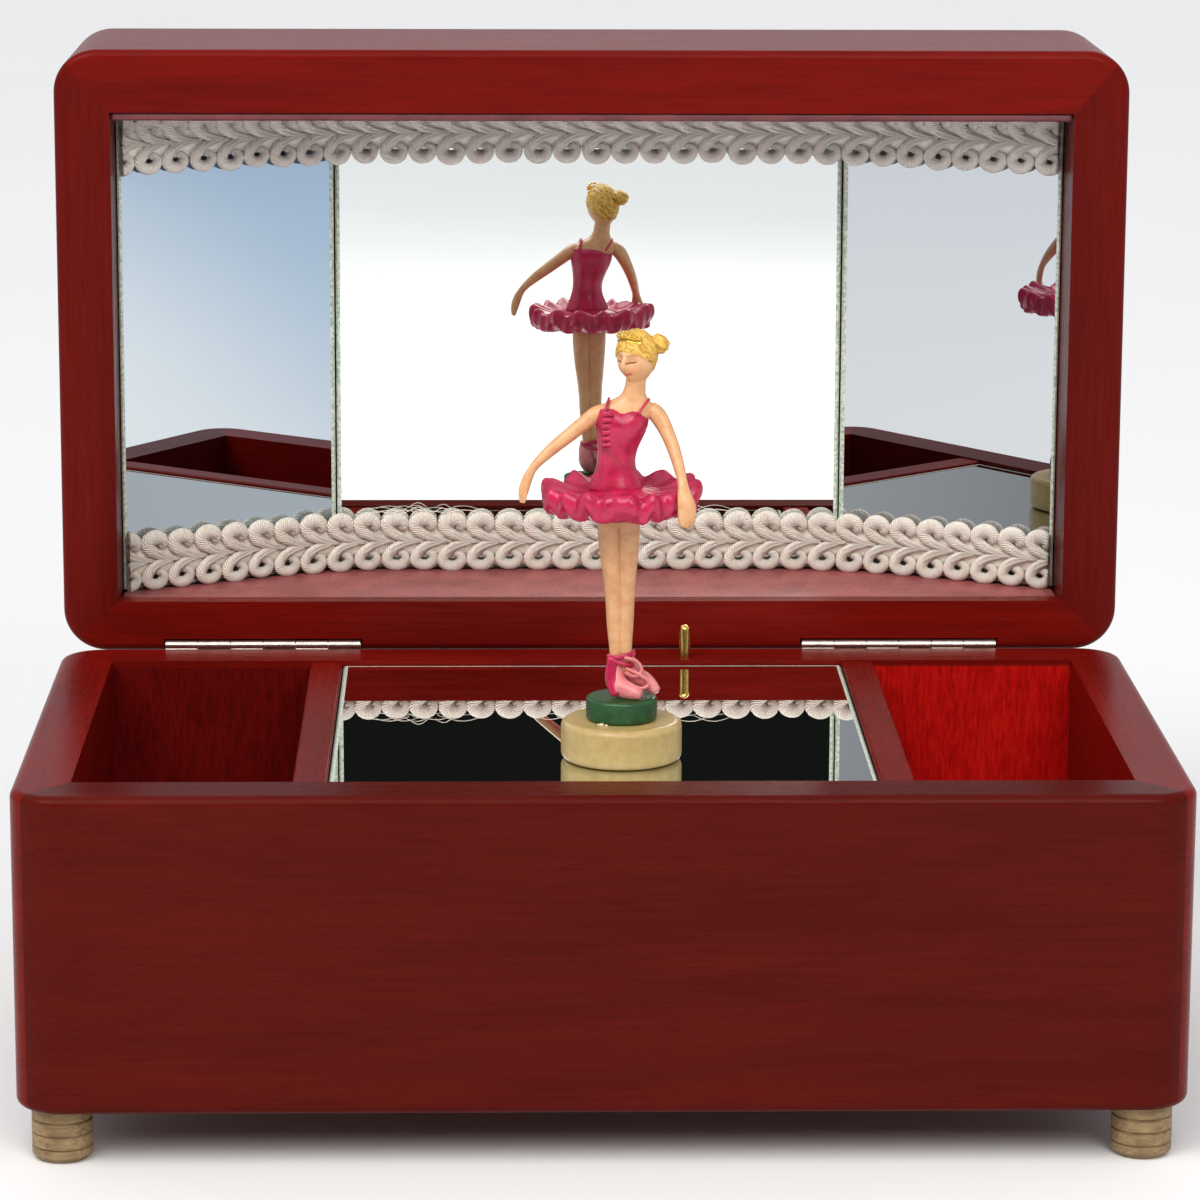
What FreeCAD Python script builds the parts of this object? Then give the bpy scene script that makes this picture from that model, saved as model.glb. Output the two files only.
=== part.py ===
"""Musical jewellery box with a dancer: a mirrored bay in the lid, a wound movement, a magnetic turntable.

Bench frame used by every formula: X to the right, Y to the back, Z up, with Z = 0 on the top rim of the
case and Y = 0 in the middle of the case. The document's own frame has its origin on the ground, under the
middle of the bounding box with the lid open, so each placed piece is shifted by SHIFT_Y and SHIFT_Z.
"""
import FreeCAD, Part
import math
import os
import re

import Sketcher
from FreeCAD import Rotation, Vector

SIZES = {
    # case
    "case_width": 200.0, "case_depth": 112.2, "case_rise": 55.5, "feet_rise": 9.5,
    "side_wall": 10.0, "front_wall": 10.7, "rear_wall": 11.2, "plan_radius": 8.0, "edge_round": 1.6,
    "divider_inner": 46.9, "divider_thick": 5.9, "divider_drop": 0.3,
    "panel_recess": 3.0, "panel_thick": 3.0, "pad_thick": 1.0,
    "foot_radius": 5.2, "foot_x": 92.3, "foot_inset": 7.6, "groove_deep": 0.35, "groove_wide": 0.5,
    "plate_thick": 2.0, "plate_drop": 0.9, "plate_gap": 0.25, "cleat_size": 5.0,
    # lid
    "lid_depth": 44.0, "lid_panel": 6.0, "lid_side": 10.4, "lid_upper": 11.6, "lid_lower": 9.6,
    "lid_lap": 0.8, "lid_rise": 113.9, "hinge_back": 0.6, "hinge_rise": 0.3, "mirror_back": 33.0,
    "mirror_thick": 2.0, "bay_half": 49.4, "wing_left": 12.0, "wing_right": 13.9, "lip_deep": 4.0,
    "floor_drop": 2.1, "ledge_thick": 1.6, "braid_wide": 11.5, "braid_thick": 2.2, "mirror_lean": 1.24,
    # hinges
    "hinge_left": 62.3, "hinge_right": 58.6, "hinge_length": 37.0, "knuckle_radius": 1.0, "leaf_thick": 0.7,
    "leaf_wide": 5.5, "hinge_pin_radius": 0.45, "running_gap": 0.05, "knuckle_gap": 0.16, "gutter_gap": 0.25,
    # movement
    "bed_thick": 2.0, "winding_x": -21.0, "arbor_radius": 1.5, "great_teeth": 40, "arm_teeth": 20,
    "wheel_module": 0.7, "wheel_thick": 2.0, "wheel_drop": 33.0, "housing_radius": 14.0, "housing_rise": 12.0,
    "key_span": 24.0, "key_rise": 8.0, "key_thick": 2.2,
    "bridge_drop": 12.8, "bridge_thick": 1.8, "sun_teeth": 40, "planet_teeth": 20, "planet_module": 0.864,
    "dancer_x": 3.4, "dancer_y": -25.7, "magnet_radius": 6.0,
    "cylinder_y": 24.0, "cylinder_drop": 35.0, "cylinder_radius": 6.0, "cylinder_length": 22.0,
    "cylinder_teeth": 30, "idler_teeth": 10, "fine_module": 0.5, "idler_wheel_teeth": 30,
    "governor_drop": 25.2, "stop_pin_x": 17.4, "stop_pin_y": 47.9, "stop_pin_radius": 1.0,
    "stop_pin_rise": 6.2, "stop_pin_foot": 21.5, "lever_y": 36.0, "lever_drop": 22.8,
    # dancer
    "disc_radius": 10.45, "disc_thick": 6.9, "base_radius": 6.15, "base_thick": 4.0, "rest_gap": 0.1,
    "skirt_radius": 13.2, "skirt_low": 40.6, "skirt_high": 48.4,
}
SHIFT_Y = "-(hinge_back + lid_depth) / 2"
SHIFT_Z = "feet_rise + case_rise"
LID_FACE = "case_depth / 2 + hinge_back"
LID_FOOT = "-lid_lap"
PLATE_TOP = "-plate_drop"
PANEL_TOP = "-case_rise + panel_recess + panel_thick"
BED_TOP = "-case_rise + panel_recess + panel_thick + bed_thick"
KNUCKLES = 6

doc = FreeCAD.newDocument("music_box")
sheet = doc.addObject("Spreadsheet::Sheet", "sizes")
for row, (alias, size) in enumerate(SIZES.items(), start=1):
    sheet.set(f"A{row}", alias)
    sheet.set(f"B{row}", str(size))
    sheet.setAlias(f"B{row}", alias)
doc.recompute()

subparts = []


def scoped(formula):
    """The formula with each driving dimension's name pointed at the sheet."""
    return re.sub(r"[a-z_]{3,}", lambda m: f"sizes.{m[0]}" if m[0] in SIZES else m[0], str(formula))


def number(formula):
    """A formula's value, worked out by the document, for shapes made by Part's own functions."""
    probe = doc.getObject("probe") or doc.addObject("App::FeaturePython", "probe")
    if "value" not in probe.PropertiesList:
        probe.addProperty("App::PropertyFloat", "value")
    probe.setExpression("value", scoped(formula))
    probe.recompute()
    return probe.value


def place(obj, x=0, y=0, z=0, turn=None):
    """Puts an object at a point of the bench frame, given as formulas."""
    if turn is not None:
        obj.Placement.Rotation = turn
    for name, formula in (("x", x), ("y", f"{y} + {SHIFT_Y}"), ("z", f"{z} + {SHIFT_Z}")):
        obj.setExpression(f"Placement.Base.{name}", scoped(formula))
    return obj


def publish(obj, label):
    """Marks an object as a sub-part: its label is its node and file name."""
    obj.Label = label
    subparts.append(obj)
    return obj


def block(x, y, z, length, width, height):
    """A box from its low corner and its three sizes."""
    box = doc.addObject("Part::Box", "block")
    for name, formula in (("Length", length), ("Width", width), ("Height", height)):
        box.setExpression(name, scoped(formula))
    return place(box, x, y, z)


ALONG_X = Rotation(Vector(0, 1, 0), 90)
ALONG_Y = Rotation(Vector(1, 0, 0), -90)


def rod(x, y, z, radius, length, turn=None):
    """A cylinder from the middle of its first end, along +Z unless turned."""
    cylinder = doc.addObject("Part::Cylinder", "rod")
    cylinder.setExpression("Radius", scoped(radius))
    cylinder.setExpression("Height", scoped(length))
    return place(cylinder, x, y, z, turn)


def cone(x, y, z, low, high, length, turn=None):
    """A cone frustum along +Z unless turned."""
    frustum = doc.addObject("Part::Cone", "cone")
    for name, formula in (("Radius1", low), ("Radius2", high), ("Height", length)):
        frustum.setExpression(name, scoped(formula))
    return place(frustum, x, y, z, turn)


def ball(x, y, z, radius):
    """A sphere about a point."""
    sphere = doc.addObject("Part::Sphere", "ball")
    sphere.setExpression("Radius", scoped(radius))
    return place(sphere, x, y, z)


def fuse(*pieces):
    """The union of pieces, or a group of separate solids where they don't touch."""
    union = doc.addObject("Part::MultiFuse", "fuse")
    union.Shapes = list(pieces)
    return union


def cut(base, *tools):
    """The base without the tools."""
    result = doc.addObject("Part::Cut", "cut")
    result.Base = base
    result.Tool = tools[0] if len(tools) == 1 else fuse(*tools)
    return result


def common(one, other):
    """What two pieces share."""
    result = doc.addObject("Part::Common", "common")
    result.Base = one
    result.Tool = other
    return result


def rounded(base, radius, wanted):
    """Rounds the edges of a piece that the test picks."""
    doc.recompute()
    result = doc.addObject("Part::Fillet", "fillet")
    result.Base = base
    size = number(radius)
    edges = enumerate(base.Shape.Edges, start=1)
    result.Edges = [(i, size, size) for i, edge in edges if wanted(edge)]
    return result


def upright(edge):
    """Whether an edge runs along Z."""
    return abs(edge.tangentAt(edge.FirstParameter).z) > 0.99


def along_y(edge):
    """Whether an edge runs along Y."""
    return abs(edge.tangentAt(edge.FirstParameter).y) > 0.99


def origin_plane(body, role):
    """A body's own origin plane, found by its role."""
    return next(f for f in body.Origin.OriginFeatures if f.Role == role)


def polygon_sketch(body, name, points, role="XY_Plane"):
    """A closed outline on an origin plane, each corner held by two dimensions bound to formulas."""
    sketch = body.newObject("Sketcher::SketchObject", name)
    sketch.AttachmentSupport = [(origin_plane(body, role), "")]
    sketch.MapMode = "FlatFace"
    corners = [Vector(number(x), number(y), 0) for x, y in points]
    count = len(corners)
    for i in range(count):
        sketch.addGeometry(Part.LineSegment(corners[i], corners[(i + 1) % count]), False)
    for i in range(count):
        sketch.addConstraint(Sketcher.Constraint("Coincident", i, 2, (i + 1) % count, 1))
    for i, (x, y) in enumerate(points):
        for kind, formula in (("DistanceX", x), ("DistanceY", y)):
            value = number(formula)
            index = sketch.addConstraint(Sketcher.Constraint(kind, -1, 1, i, 1, value))
            if abs(value) > 1e-9:
                sketch.setExpression(f"Constraints[{index}]", scoped(formula))
    return sketch


def prism(name, points, height, x=0, y=0, z=0, turn=None):
    """An upright prism on a plan outline, as a body with one pad."""
    body = doc.addObject("PartDesign::Body", name)
    sketch = polygon_sketch(body, f"{name}_plan", points)
    pad = body.newObject("PartDesign::Pad", f"{name}_pad")
    pad.Profile = sketch
    pad.setExpression("Length", scoped(height))
    return place(body, x, y, z, turn)


def turned(name, profile, x, y, z, turn=None):
    """A body of revolution about its own Z axis from a half outline of radius and height."""
    body = doc.addObject("PartDesign::Body", name)
    sketch = polygon_sketch(body, f"{name}_profile", profile, "XZ_Plane")
    spin = body.newObject("PartDesign::Revolution", f"{name}_spin")
    spin.Profile = sketch
    spin.ReferenceAxis = (sketch, ["V_Axis"])
    spin.Angle = 360
    return place(body, x, y, z, turn)


def toothed(name, teeth, module, thick, bore):
    """A spur gear about Z as one body: a root disc, one tooth, its polar pattern and the bore."""
    body = doc.addObject("PartDesign::Body", name)
    disc = body.newObject("Sketcher::SketchObject", f"{name}_disc")
    disc.AttachmentSupport = [(origin_plane(body, "XY_Plane"), "")]
    disc.MapMode = "FlatFace"
    root = f"{module} * ({teeth} / 2 - 1.2)"
    disc.addGeometry(Part.Circle(Vector(), Vector(0, 0, 1), number(root)), False)
    disc.addConstraint(Sketcher.Constraint("Coincident", 0, 3, -1, 1))
    index = disc.addConstraint(Sketcher.Constraint("Radius", 0, number(root)))
    disc.setExpression(f"Constraints[{index}]", scoped(root))
    hub = body.newObject("PartDesign::Pad", f"{name}_hub")
    hub.Profile = disc
    hub.setExpression("Length", scoped(thick))
    foot, tip = f"{module} * ({teeth} / 2 - 1.5)", f"{module} * ({teeth} / 2 + 0.85)"
    wide, narrow = f"{module} * 1.12", f"{module} * 0.36"
    flank = [(foot, f"-{wide}"), (tip, f"-{narrow}"), (tip, narrow), (foot, wide)]
    outline = polygon_sketch(body, f"{name}_tooth", flank)
    tooth = body.newObject("PartDesign::Pad", f"{name}_tooth_pad")
    tooth.Profile = outline
    tooth.setExpression("Length", scoped(thick))
    pattern = body.newObject("PartDesign::PolarPattern", f"{name}_teeth")
    pattern.Originals = [tooth]
    pattern.Axis = (outline, ["N_Axis"])
    pattern.Angle = 360
    pattern.setExpression("Occurrences", scoped(teeth))
    body.Tip = pattern
    hole = body.newObject("Sketcher::SketchObject", f"{name}_hole")
    hole.AttachmentSupport = [(origin_plane(body, "XY_Plane"), "")]
    hole.MapMode = "FlatFace"
    hole.addGeometry(Part.Circle(Vector(), Vector(0, 0, 1), number(bore)), False)
    hole.addConstraint(Sketcher.Constraint("Coincident", 0, 3, -1, 1))
    index = hole.addConstraint(Sketcher.Constraint("Radius", 0, number(bore)))
    hole.setExpression(f"Constraints[{index}]", scoped(bore))
    pocket = body.newObject("PartDesign::Pocket", f"{name}_bore")
    pocket.Profile = hole
    pocket.Type = 1
    pocket.Midplane = True
    body.Tip = pocket
    return body


def about_z(degrees):
    """A turn about Z."""
    return Rotation(Vector(0, 0, 1), degrees)


def made(label, shape, x, y, z):
    """A sub-part whose shape comes from Part's own functions, put at a point of the bench frame."""
    feature = doc.addObject("Part::Feature", label)
    feature.Shape = shape
    return publish(place(feature, x, y, z), label)


# ---------------------------------------------------------------- case

HALF_W = "case_width / 2"
HALF_D = "case_depth / 2"
INNER_X = "(case_width / 2 - side_wall)"
INNER_FRONT = "(-case_depth / 2 + front_wall)"
INNER_REAR = "(case_depth / 2 - rear_wall)"


def case_blank():
    """The case's four walls in one ring, with its corners and its long edges rounded."""
    outer = block(f"-{HALF_W}", f"-{HALF_D}", "-case_rise", "case_width", "case_depth", "case_rise")
    outer = rounded(outer, "plan_radius", upright)
    outer = rounded(outer, "edge_round", lambda edge: not upright(edge))
    inner = block(f"-{INNER_X}", INNER_FRONT, "-case_rise - 1", f"2 * {INNER_X}",
                  f"{INNER_REAR} - {INNER_FRONT}", "case_rise + 2")
    return cut(outer, inner)


HINGES = ("-hinge_left", "hinge_right")
KERF_TURN = {"case": 225, "lid": 45}


def hinge_gutters():
    """The round gutters behind the knuckles of both hinges."""
    return [
        rod(f"{centre} - hinge_length / 2 - 0.3", LID_FACE, "hinge_rise", "knuckle_radius + gutter_gap",
            "hinge_length + 0.6", ALONG_X)
        for centre in HINGES
    ]


def leaf_strip(side_of, x, length, start, reach):
    """A strip of a hinge leaf that leaves the pin's axis on the slant of its kerf; side_of is case or lid."""
    turn = Rotation(Vector(1, 0, 0), KERF_TURN[side_of])
    strip = block(x, 0, 0, length, reach, "leaf_thick")
    corner = turn.multVec(Vector(0, number(start), -number("leaf_thick") / 2))
    return place(strip, x, f"{LID_FACE} + {corner.y}", f"hinge_rise + {corner.z}", turn)


def kerfs(side_of):
    """The slanting saw cuts that the leaves are pressed into."""
    return [
        leaf_strip(side_of, f"{centre} - hinge_length / 2", "hinge_length", 0, "leaf_wide")
        for centre in HINGES
    ]


def case_boards():
    """Four boards, mitred from the outer to the inner corners."""
    blank = case_blank()
    corner_x, corner_y = f"({HALF_W} + 1)", f"({HALF_D} + 1)"
    slope_f, slope_r = "(front_wall / side_wall)", "(rear_wall / side_wall)"
    near, far = f"(-{HALF_D} - {slope_f})", f"({HALF_D} + {slope_r})"
    plans = {
        "front_board": [(f"-{corner_x}", near), (corner_x, near), (INNER_X, INNER_FRONT),
                        (f"-{INNER_X}", INNER_FRONT)],
        "rear_board": [(corner_x, far), (f"-{corner_x}", far), (f"-{INNER_X}", INNER_REAR),
                       (INNER_X, INNER_REAR)],
        "left_board": [(f"-{corner_x}", near), (f"-{INNER_X}", INNER_FRONT), (f"-{INNER_X}", INNER_REAR),
                       (f"-{corner_x}", far)],
        "right_board": [(corner_x, near), (corner_x, far), (INNER_X, INNER_REAR), (INNER_X, INNER_FRONT)],
    }
    for label, plan in plans.items():
        wedge = prism(f"{label}_wedge", plan, "case_rise + 2", z="-case_rise - 1")
        board = common(blank, wedge)
        if label == "rear_board":
            bore = rod("stop_pin_x", "stop_pin_y", -14, "stop_pin_radius + running_gap", 16)
            relief = block("stop_pin_x - 5", f"{INNER_REAR} - 1", -36, 10, "6.9", 24)
            board = cut(board, *hinge_gutters(), *kerfs("case"), bore, relief)
        publish(board, label)


def case_inside():
    """Bottom panel, dividers, lining pads, cleats, glass plate and feet."""
    holes = [rod("winding_x", 0, "-case_rise", "arbor_radius + 2.5", 8)]
    screws = fuse(*movement_screw_shapes())
    panel = block(f"-{INNER_X}", INNER_FRONT, "-case_rise + panel_recess", f"2 * {INNER_X}",
                  f"{INNER_REAR} - {INNER_FRONT}", "panel_thick")
    publish(cut(panel, *holes, screws), "bottom_panel")
    publish(screws, "movement_screws")
    for side, label in ((-1, "left"), (1, "right")):
        low = "divider_inner" if side > 0 else "-divider_inner - divider_thick"
        board = block(low, INNER_FRONT, PANEL_TOP, "divider_thick", f"{INNER_REAR} - {INNER_FRONT}",
                      f"-divider_drop - ({PANEL_TOP})")
        top_z = number(f"-divider_drop + {SHIFT_Z}")
        publish(rounded(board, 0.5, lambda e: along_y(e) and abs(e.Vertexes[0].Z - top_z) < 0.01),
                f"{label}_divider")
        low = "divider_inner + divider_thick + 0.2" if side > 0 else f"-{INNER_X} + 0.2"
        publish(block(low, f"{INNER_FRONT} + 0.2", PANEL_TOP,
                      f"{INNER_X} - divider_inner - divider_thick - 0.4",
                      f"{INNER_REAR} - {INNER_FRONT} - 0.4", "pad_thick"), f"{label}_floor_pad")
    cleats = [
        block("-divider_inner", y, "-plate_drop - plate_thick - cleat_size", "2 * divider_inner",
              "cleat_size", "cleat_size")
        for y in (INNER_FRONT, f"{INNER_REAR} - cleat_size")
    ]
    notch = block("stop_pin_x - 5", "stop_pin_y - 9", "-plate_drop - plate_thick - cleat_size - 1", 10, 12,
                  "cleat_size + 2")
    publish(cut(fuse(*cleats), notch), "plate_cleats")
    publish(block("-divider_inner + plate_gap", f"{INNER_FRONT} + plate_gap", f"{PLATE_TOP} - plate_thick",
                  "2 * divider_inner - 2 * plate_gap", f"{INNER_REAR} - {INNER_FRONT} - 2 * plate_gap",
                  "plate_thick"), "mirror_plate")
    publish(fuse(*[foot(sx, sy) for sx in (-1, 1) for sy in (-1, 1)]), "feet")


def foot(sx, sy):
    """One turned foot with ring grooves and a rounded tip, under a corner of the case."""
    profile = [(0, 0), ("foot_radius - 1", 0), ("foot_radius", 1)]
    for ring in range(1, 4):
        level = f"feet_rise * {ring} / 4"
        profile += [("foot_radius", f"{level} - groove_wide / 2"),
                    ("foot_radius - groove_deep", f"{level}"),
                    ("foot_radius", f"{level} + groove_wide / 2")]
    profile += [("foot_radius", "feet_rise"), (0, "feet_rise")]
    name = f"foot_{'right' if sx > 0 else 'left'}_{'rear' if sy > 0 else 'front'}"
    y = f"{sy} * ({HALF_D} - foot_inset)"
    return turned(name, profile, f"{sx} * foot_x", y, "-case_rise - feet_rise")


def movement_screw_shapes():
    """Four screws from below through the bottom panel into the bedplate."""
    shapes = []
    for x in (-38, 22):
        for y in (-16, 39):
            head = rod(x, y, "-case_rise + panel_recess - 1.2", 2.4, 1.2)
            shank = rod(x, y, "-case_rise + panel_recess - 0.5", 1.2, "panel_thick + bed_thick + 0.3")
            shapes.append(fuse(head, shank))
    return shapes


# ---------------------------------------------------------------- lid

LID_TOP = f"({LID_FOOT} + lid_rise)"
OPEN_LOW = f"({LID_FOOT} + lid_lower)"
OPEN_HIGH = f"({LID_FOOT} + lid_rise - lid_upper)"
OPEN_X = "(case_width / 2 - lid_side)"
PANEL_Y = f"({LID_FACE} + lid_depth - lid_panel)"
MIRROR_Y = f"({LID_FACE} + mirror_back)"


def lid_blank():
    """The lid as one rounded slab, standing open."""
    slab = block(f"-{HALF_W}", LID_FACE, LID_FOOT, "case_width", "lid_depth", "lid_rise")
    slab = rounded(slab, "plan_radius", along_y)
    return rounded(slab, "edge_round", lambda edge: not along_y(edge))


def lid_boards():
    """Four mitred rails and the panel that closes their back."""
    blank = lid_blank()
    mouth = block(f"-{OPEN_X}", f"{LID_FACE} - 1", OPEN_LOW, f"2 * {OPEN_X}", "lid_depth - lid_panel + 1",
                  f"{OPEN_HIGH} - {OPEN_LOW}")
    rebate = block(f"-{OPEN_X}", f"{LID_FACE} + lip_deep", f"{OPEN_LOW} - floor_drop", f"2 * {OPEN_X}",
                   f"{PANEL_Y} - ({LID_FACE} + lip_deep) + 1", "floor_drop + 1")
    ring = cut(blank, mouth, rebate)
    out_x, out_low, out_high = f"({HALF_W} + 1)", f"({LID_FOOT} - lid_lower / lid_side)", \
        f"({LID_TOP} + lid_upper / lid_side)"
    plans = {
        "lid_lower_rail": [(f"-{out_x}", out_low), (out_x, out_low), (OPEN_X, OPEN_LOW),
                           (f"-{OPEN_X}", OPEN_LOW)],
        "lid_upper_rail": [(out_x, out_high), (f"-{out_x}", out_high), (f"-{OPEN_X}", OPEN_HIGH),
                           (OPEN_X, OPEN_HIGH)],
        "lid_left_rail": [(f"-{out_x}", out_low), (f"-{OPEN_X}", OPEN_LOW), (f"-{OPEN_X}", OPEN_HIGH),
                          (f"-{out_x}", out_high)],
        "lid_right_rail": [(out_x, out_low), (out_x, out_high), (OPEN_X, OPEN_HIGH), (OPEN_X, OPEN_LOW)],
    }
    for label, plan in plans.items():
        wedge = prism(f"{label}_wedge", plan, "lid_depth - lid_panel + 1", y=PANEL_Y,
                      turn=Rotation(Vector(1, 0, 0), 90))
        rail = common(ring, wedge)
        if label == "lid_lower_rail":
            rail = cut(rail, *hinge_gutters(), *kerfs("lid"))
        publish(rail, label)
    back = block(f"-{HALF_W} - 1", PANEL_Y, f"{LID_FOOT} - 1", "case_width + 2", "lid_panel + 1",
                 "lid_rise + 2")
    publish(common(blank, back), "lid_panel")


def bay(offset):
    """Plan corners of the mirrored bay's face, offset millimetres in front of it, from left to right."""
    return [
        (f"-{OPEN_X} + 0.2", f"{LID_FACE} + wing_left - {offset}"),
        (f"-bay_half + 0.4 * {offset}", f"{MIRROR_Y} - {offset}"),
        (f"bay_half - 0.4 * {offset}", f"{MIRROR_Y} - {offset}"),
        (f"{OPEN_X} - 0.2", f"{LID_FACE} + wing_right - {offset}"),
    ]


def lid_inside():
    """Three mirrors, padded ledges and braid trims."""
    floor, ceiling = f"({OPEN_LOW} - floor_drop + ledge_thick)", f"({OPEN_HIGH} - ledge_thick)"
    rise = f"{ceiling} - {floor}"
    centre = block("-bay_half + 0.3", MIRROR_Y, floor, "2 * bay_half - 0.6", "mirror_thick", f"{rise} - 0.4")
    centre.Placement.Rotation = Rotation(Vector(1, 0, 0), -number("mirror_lean"))
    publish(centre, "centre_mirror")
    left, inner_left, inner_right, right = bay(0)
    wings = (("left_mirror", left, inner_left, -1), ("right_mirror", right, inner_right, 1))
    for label, outer, inner, side in wings:
        plan = [outer, inner, (inner[0], f"{inner[1]} + mirror_thick * 1.2"),
                (outer[0], f"{outer[1]} + mirror_thick * 1.2")]
        publish(prism(label, plan[::side], rise, z=floor), label)
    ledges = (("lower_ledge", f"{OPEN_LOW} - floor_drop", f"({LID_FACE} + lip_deep + 0.2)"),
              ("upper_ledge", ceiling, f"({LID_FACE} + 0.4)"))
    for label, z, rim in ledges:
        plan = [(f"-{OPEN_X} + 0.2", rim), (f"{OPEN_X} - 0.2", rim), right, inner_right, inner_left, left]
        publish(prism(label, plan, "ledge_thick", z=z), label)
    for label, z in (("lower_braid", floor), ("upper_braid", f"{ceiling} - braid_wide")):
        rear = bay(0.35)
        front = bay("(0.35 + braid_thick)")
        publish(prism(label, front + rear[::-1], "braid_wide", z=z), label)


# ---------------------------------------------------------------- hinges


def hinge_leaves(side_of):
    """Both leaves of one side, each a slanting strip with every second knuckle on it."""
    leaves = []
    first = 0 if side_of == "case" else 1
    pitch = f"(hinge_length / {KNUCKLES})"
    for centre in HINGES:
        clear = number("knuckle_radius + 0.35")
        pieces = [
            leaf_strip(side_of, f"{centre} - hinge_length / 2", "hinge_length", clear, f"leaf_wide - {clear}")
        ]
        for index in range(first, KNUCKLES, 2):
            low = f"{centre} - hinge_length / 2 + {index} * {pitch} + knuckle_gap / 2"
            length = f"{pitch} - knuckle_gap"
            pieces.append(rod(low, LID_FACE, "hinge_rise", "knuckle_radius", length, ALONG_X))
            pieces.append(leaf_strip(side_of, low, length, 0, "knuckle_radius + 0.6"))
        leaves.append(fuse(*pieces))
    bores = [
        rod(f"{centre} - hinge_length / 2 - 1", LID_FACE, "hinge_rise", "hinge_pin_radius + running_gap",
            "hinge_length + 2", ALONG_X)
        for centre in HINGES
    ]
    return cut(fuse(*leaves), *bores)


def hinges():
    """Two knuckle hinges: case leaves, lid leaves and their pins."""
    publish(hinge_leaves("case"), "case_hinge_leaves")
    publish(hinge_leaves("lid"), "lid_hinge_leaves")
    pins = [
        rod(f"{centre} - hinge_length / 2", LID_FACE, "hinge_rise", "hinge_pin_radius", "hinge_length",
            ALONG_X)
        for centre in HINGES
    ]
    publish(fuse(*pins), "hinge_pins")


# ---------------------------------------------------------------- movement

WHEEL_LOW = "-wheel_drop"
BRIDGE_TOP = "(-bridge_drop + bridge_thick)"
GEAR_LOW = f"({BRIDGE_TOP} + 0.3)"
ARM_LOW = f"({GEAR_LOW} + 2 + 0.4)"
CYL_LEFT = -32
LEVER_SWING = 27.5


def spring_set():
    """Bedplate, spring housing, mainspring, winding arbor, key and great wheel."""
    screws = fuse(*movement_screw_shapes())
    bed = block(-42, -20, PANEL_TOP, 68, 63, "bed_thick")
    passage = rod("winding_x", 0, "-case_rise", "arbor_radius + 2.5", 12)
    publish(cut(bed, passage, screws), "bedplate")
    outer = rod("winding_x", 0, BED_TOP, "housing_radius", "housing_rise")
    inner = rod("winding_x", 0, f"{BED_TOP} + 1", "housing_radius - 0.8", "housing_rise - 1.8")
    bore = rod("winding_x", 0, "-case_rise", "arbor_radius + running_gap", 50)
    publish(cut(outer, inner, bore), "spring_housing")
    made("mainspring", ribbon_spring(), "winding_x", 0, f"{BED_TOP} + 1.5")
    arbor_low = "-case_rise - 4.6"
    publish(rod("winding_x", 0, arbor_low, "arbor_radius", f"{WHEEL_LOW} + wheel_thick + 2 - ({arbor_low})"),
            "winding_arbor")
    key_top = "(-case_rise + panel_recess - 2.6)"
    hub = rod("winding_x", 0, f"{key_top} - key_rise", 3.2, "key_rise")
    wing = rounded(block("winding_x - key_span / 2", "-key_thick / 2", f"{key_top} - key_rise", "key_span",
                         "key_thick", "key_rise"), 3.2, along_y)
    socket = rod("winding_x", 0, arbor_low, "arbor_radius", 20)
    publish(cut(fuse(hub, wing), socket), "winding_key")
    wheel = toothed("great_wheel_body", "great_teeth", "wheel_module", "wheel_thick", "arbor_radius")
    publish(place(wheel, "winding_x", 0, WHEEL_LOW), "great_wheel")


def ribbon_spring():
    """A flat spiral ribbon inside the housing, clear of the arbor and of the wall."""
    turns, steps = 6, 24
    start, end, thick = number("arbor_radius") + 0.9, number("housing_radius") - 1.6, 0.45
    points = []
    for i in range(turns * steps + 1):
        angle = 2 * math.pi * i / steps
        radius = start + (end - start) * i / (turns * steps)
        points.append((radius, angle))
    inner = [Vector(r * math.cos(a), r * math.sin(a), 0) for r, a in points]
    outer = [Vector((r + thick) * math.cos(a), (r + thick) * math.sin(a), 0) for r, a in reversed(points)]
    face = Part.Face(Part.makePolygon(inner + outer + [inner[0]]))
    return face.extrude(Vector(0, 0, number("housing_rise") - 3))


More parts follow.
